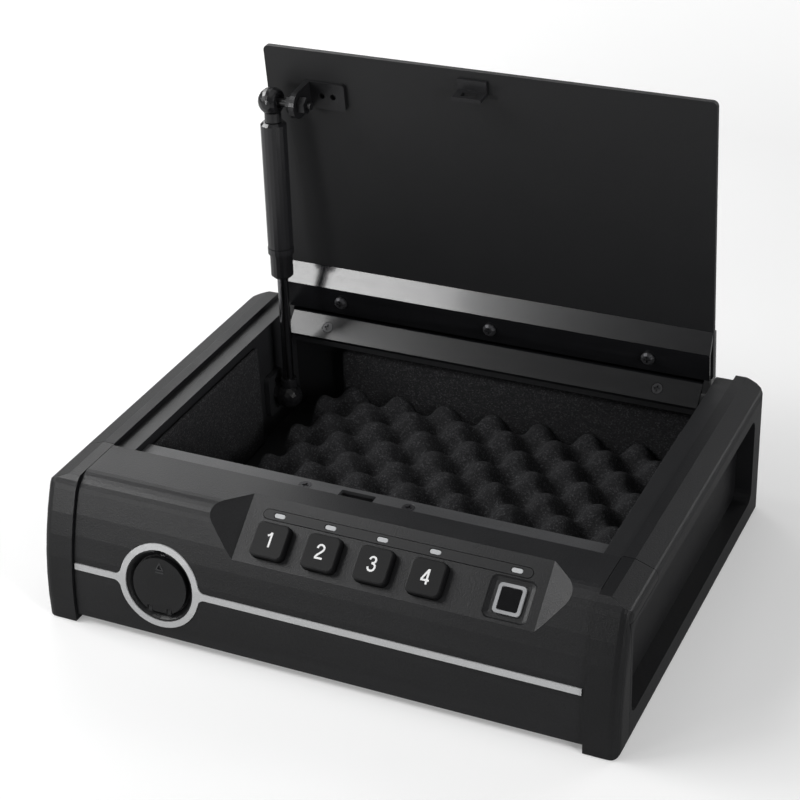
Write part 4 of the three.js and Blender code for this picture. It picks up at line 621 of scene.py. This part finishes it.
MARK_RAISE = 0.12 * MM
MARK_SINK = 0.10 * MM
MARK_OUTER = [(-2.4, 8.5), (2.4, 8.5), (0.0, 13.0)]
MARK_INNER = [(-1.3, 9.1), (1.3, 9.1), (0.0, 11.7)]
MARK_BAR = [(-2.2, 7.0), (2.2, 7.0), (2.2, 7.7), (-2.2, 7.7)]
MARK_COLOR = (0.035, 0.0355, 0.037)


def cover_mark():
    points = [vertex.co for vertex in nodes["key_cover"].data.vertices]
    top = max(point.dot(COVER_OUT) for point in points)
    low, high = (Vector(corner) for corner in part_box("key_lock_plug"))
    axis = (low + high) / 2
    middle = axis + COVER_OUT * (top - axis.dot(COVER_OUT))
    data = bmesh.new()

    def ring(outline, level):
        return [data.verts.new((x * MM, y * MM, level)) for x, y in outline]

    outer, outer_foot = ring(MARK_OUTER, MARK_RAISE), ring(MARK_OUTER, -MARK_SINK)
    inner, inner_foot = ring(MARK_INNER, MARK_RAISE), ring(MARK_INNER, -MARK_SINK)
    wall(data, outer, outer_foot)
    wall(data, inner_foot, inner)
    wall(data, inner, outer)
    wall(data, outer_foot, inner_foot)
    bar, bar_foot = ring(MARK_BAR, MARK_RAISE), ring(MARK_BAR, -MARK_SINK)
    wall(data, bar, bar_foot)
    data.faces.new(bar)
    data.faces.new(bar_foot[::-1])
    finish = moulded_plastic("cover_mark", MARK_COLOR, rough=(0.35, 0.45))
    place = place_on(middle, COVER_UP, COVER_OUT)
    new_piece("cover_mark", data, finish, "cover", place=place)


# Floor, light and camera

FLOOR_SIZE = 14.0
FLOOR_DROP = 0.5 * MM
FLOOR_CLOUD = 3.0
FLOOR_ROUGHNESS = 0.7
FLOOR_COLOR = (0.80, 0.80, 0.80)
FLOOR_BOUNCE = (0.38, 0.38, 0.38, 1.0)
# The floor's own paleness to the camera, near the object and far off, and where one turns into the other
FLOOR_PALENESS = (0.26, 1.05)
FLOOR_FADE = (0.6, 1.7)
BACKDROP = (1.0, 1.0, 1.0, 1.0)
BACKDROP_STRENGTH = 1.0
AMBIENT = 0.11
LAMP_AIM = (0.0, 0.0, 0.08)
# Name, place, width and height in metres, power in watts and aim
LAMPS = [
    ("back_left_softbox", (-0.80, 0.80, 0.62), (0.55, 0.7), 2.4, (-0.08, 0.0, 0.07)),
    ("left_softbox", (-0.98, -0.10, 0.74), (0.5, 0.5), 7, (-0.02, -0.02, 0.04)),
    ("high_left_softbox", (-1.16, -0.62, 1.34), (0.6, 0.6), 10, (-0.02, 0.0, 0.06)),
    ("front_left_card", (-0.65, -1.08, 0.34), (0.30, 0.18), 3.0, (-0.06, 0.10, 0.07)),
    ("right_strip", (0.66, -0.42, 0.46), (0.06, 0.6), 0.85, (-0.11, 0.08, 0.14)),
    ("rim_strip", (-0.35, 0.86, 0.78), (0.9, 0.1), 1.1, (0.0, 0.11, 0.23)),
    ("back_right_softbox", (0.85, 1.15, 0.75), (0.7, 0.7), 3.9, (0.0, 0.08, 0.1)),
    ("overhead", (0.0, 0.1, 1.6), (1.0, 0.9), 2.0, LAMP_AIM),
    ("right_fill", (1.2, -0.45, 0.34), (0.6, 0.4), 7.8, LAMP_AIM),
]
# Lamps that glossy faces don't mirror
UNMIRRORED = {"right_fill"}


def stage():
    bpy.ops.mesh.primitive_plane_add(size=FLOOR_SIZE, location=(0, 0, -FLOOR_DROP))
    floor = bpy.context.object
    floor.name = "stage_floor"
    material, net, shader = tree("stage_floor")
    cloud = noise_of(net, object_coordinates(net), FLOOR_CLOUD)
    base = tones(net, cloud, FLOOR_COLOR, (0.2, 0.98), (0.8, 1.0))
    seen = add(net, "ShaderNodeLightPath").outputs["Is Camera Ray"]
    mix = add(net, "ShaderNodeMix", data_type="RGBA")
    mix.inputs["A"].default_value = FLOOR_BOUNCE
    net.links.new(base, mix.inputs["B"])
    net.links.new(seen, mix.inputs["Factor"])
    net.links.new(mix.outputs["Result"], shader.inputs["Base Color"])
    net.links.new(base, shader.inputs["Emission Color"])
    away = add(net, "ShaderNodeVectorMath", operation="LENGTH")
    net.links.new(object_coordinates(net), away.inputs[0])
    span = {"From Min": FLOOR_FADE[0], "From Max": FLOOR_FADE[1]}
    span |= {"To Min": FLOOR_PALENESS[0], "To Max": FLOOR_PALENESS[1]}
    paleness = add(net, "ShaderNodeMapRange", **span)
    net.links.new(away.outputs["Value"], paleness.inputs["Value"])
    glow = add(net, "ShaderNodeMath", operation="MULTIPLY")
    net.links.new(paleness.outputs["Result"], glow.inputs[0])
    net.links.new(seen, glow.inputs[1])
    net.links.new(glow.outputs["Value"], shader.inputs["Emission Strength"])
    shader.inputs["Roughness"].default_value = FLOOR_ROUGHNESS
    floor.data.materials.append(material)


def lamp(name, place, size, power, aim):
    data = bpy.data.lights.new(name, "AREA")
    data.shape = "RECTANGLE"
    data.size, data.size_y = size
    data.energy = power
    item = new_item(name, data)
    item.location = place
    item.visible_camera = False
    item.visible_glossy = name not in UNMIRRORED
    item.rotation_euler = (Vector(aim) - Vector(place)).to_track_quat("-Z", "Y").to_euler()


def surround():
    """White to the camera, and a dim surround to all else, as in the studio that the photo shows."""
    world = bpy.data.worlds.new("studio")
    bpy.context.scene.world = world
    world.use_nodes = True
    net = world.node_tree
    backdrop = net.nodes["Background"]
    backdrop.inputs["Color"].default_value = BACKDROP
    seen = add(net, "ShaderNodeLightPath").outputs["Is Camera Ray"]
    net.links.new(remap(net, seen, AMBIENT, BACKDROP_STRENGTH), backdrop.inputs["Strength"])


def camera():
    data = bpy.data.cameras.new("photo_camera")
    data.sensor_width = SENSOR
    data.lens = FOCAL_PIXELS / PHOTO_PIXELS * SENSOR
    item = new_item("photo_camera", data)
    forward = Vector((
        -math.sin(CAMERA_YAW) * math.cos(CAMERA_PITCH),
        math.cos(CAMERA_YAW) * math.cos(CAMERA_PITCH),
        -math.sin(CAMERA_PITCH),
    ))
    level = Vector((math.cos(CAMERA_YAW), math.sin(CAMERA_YAW), 0))
    above = level.cross(forward)
    right = level * math.cos(CAMERA_ROLL) + above * math.sin(CAMERA_ROLL)
    up = above * math.cos(CAMERA_ROLL) - level * math.sin(CAMERA_ROLL)
    turn = Matrix((right, up, -forward)).transposed().to_4x4()
    item.matrix_world = Matrix.Translation(CAMERA_PLACE) @ turn
    bpy.context.scene.camera = item


camera()
egg_crate()
liner("foam_left", "left_liner")
liner("foam_right", "right_liner")
liner("foam_rear", "rear_liner")
for node_name, node_item in nodes.items():
    dress(node_name, node_item)
ink_paint = numeral_ink()
for key_number in KEY_NUMBERS:
    numeral(key_number, ink_paint)
cover_mark()
stage()
for lamp_facts in LAMPS:
    lamp(*lamp_facts)
surround()
bpy.context.scene.view_settings.view_transform = "Standard"
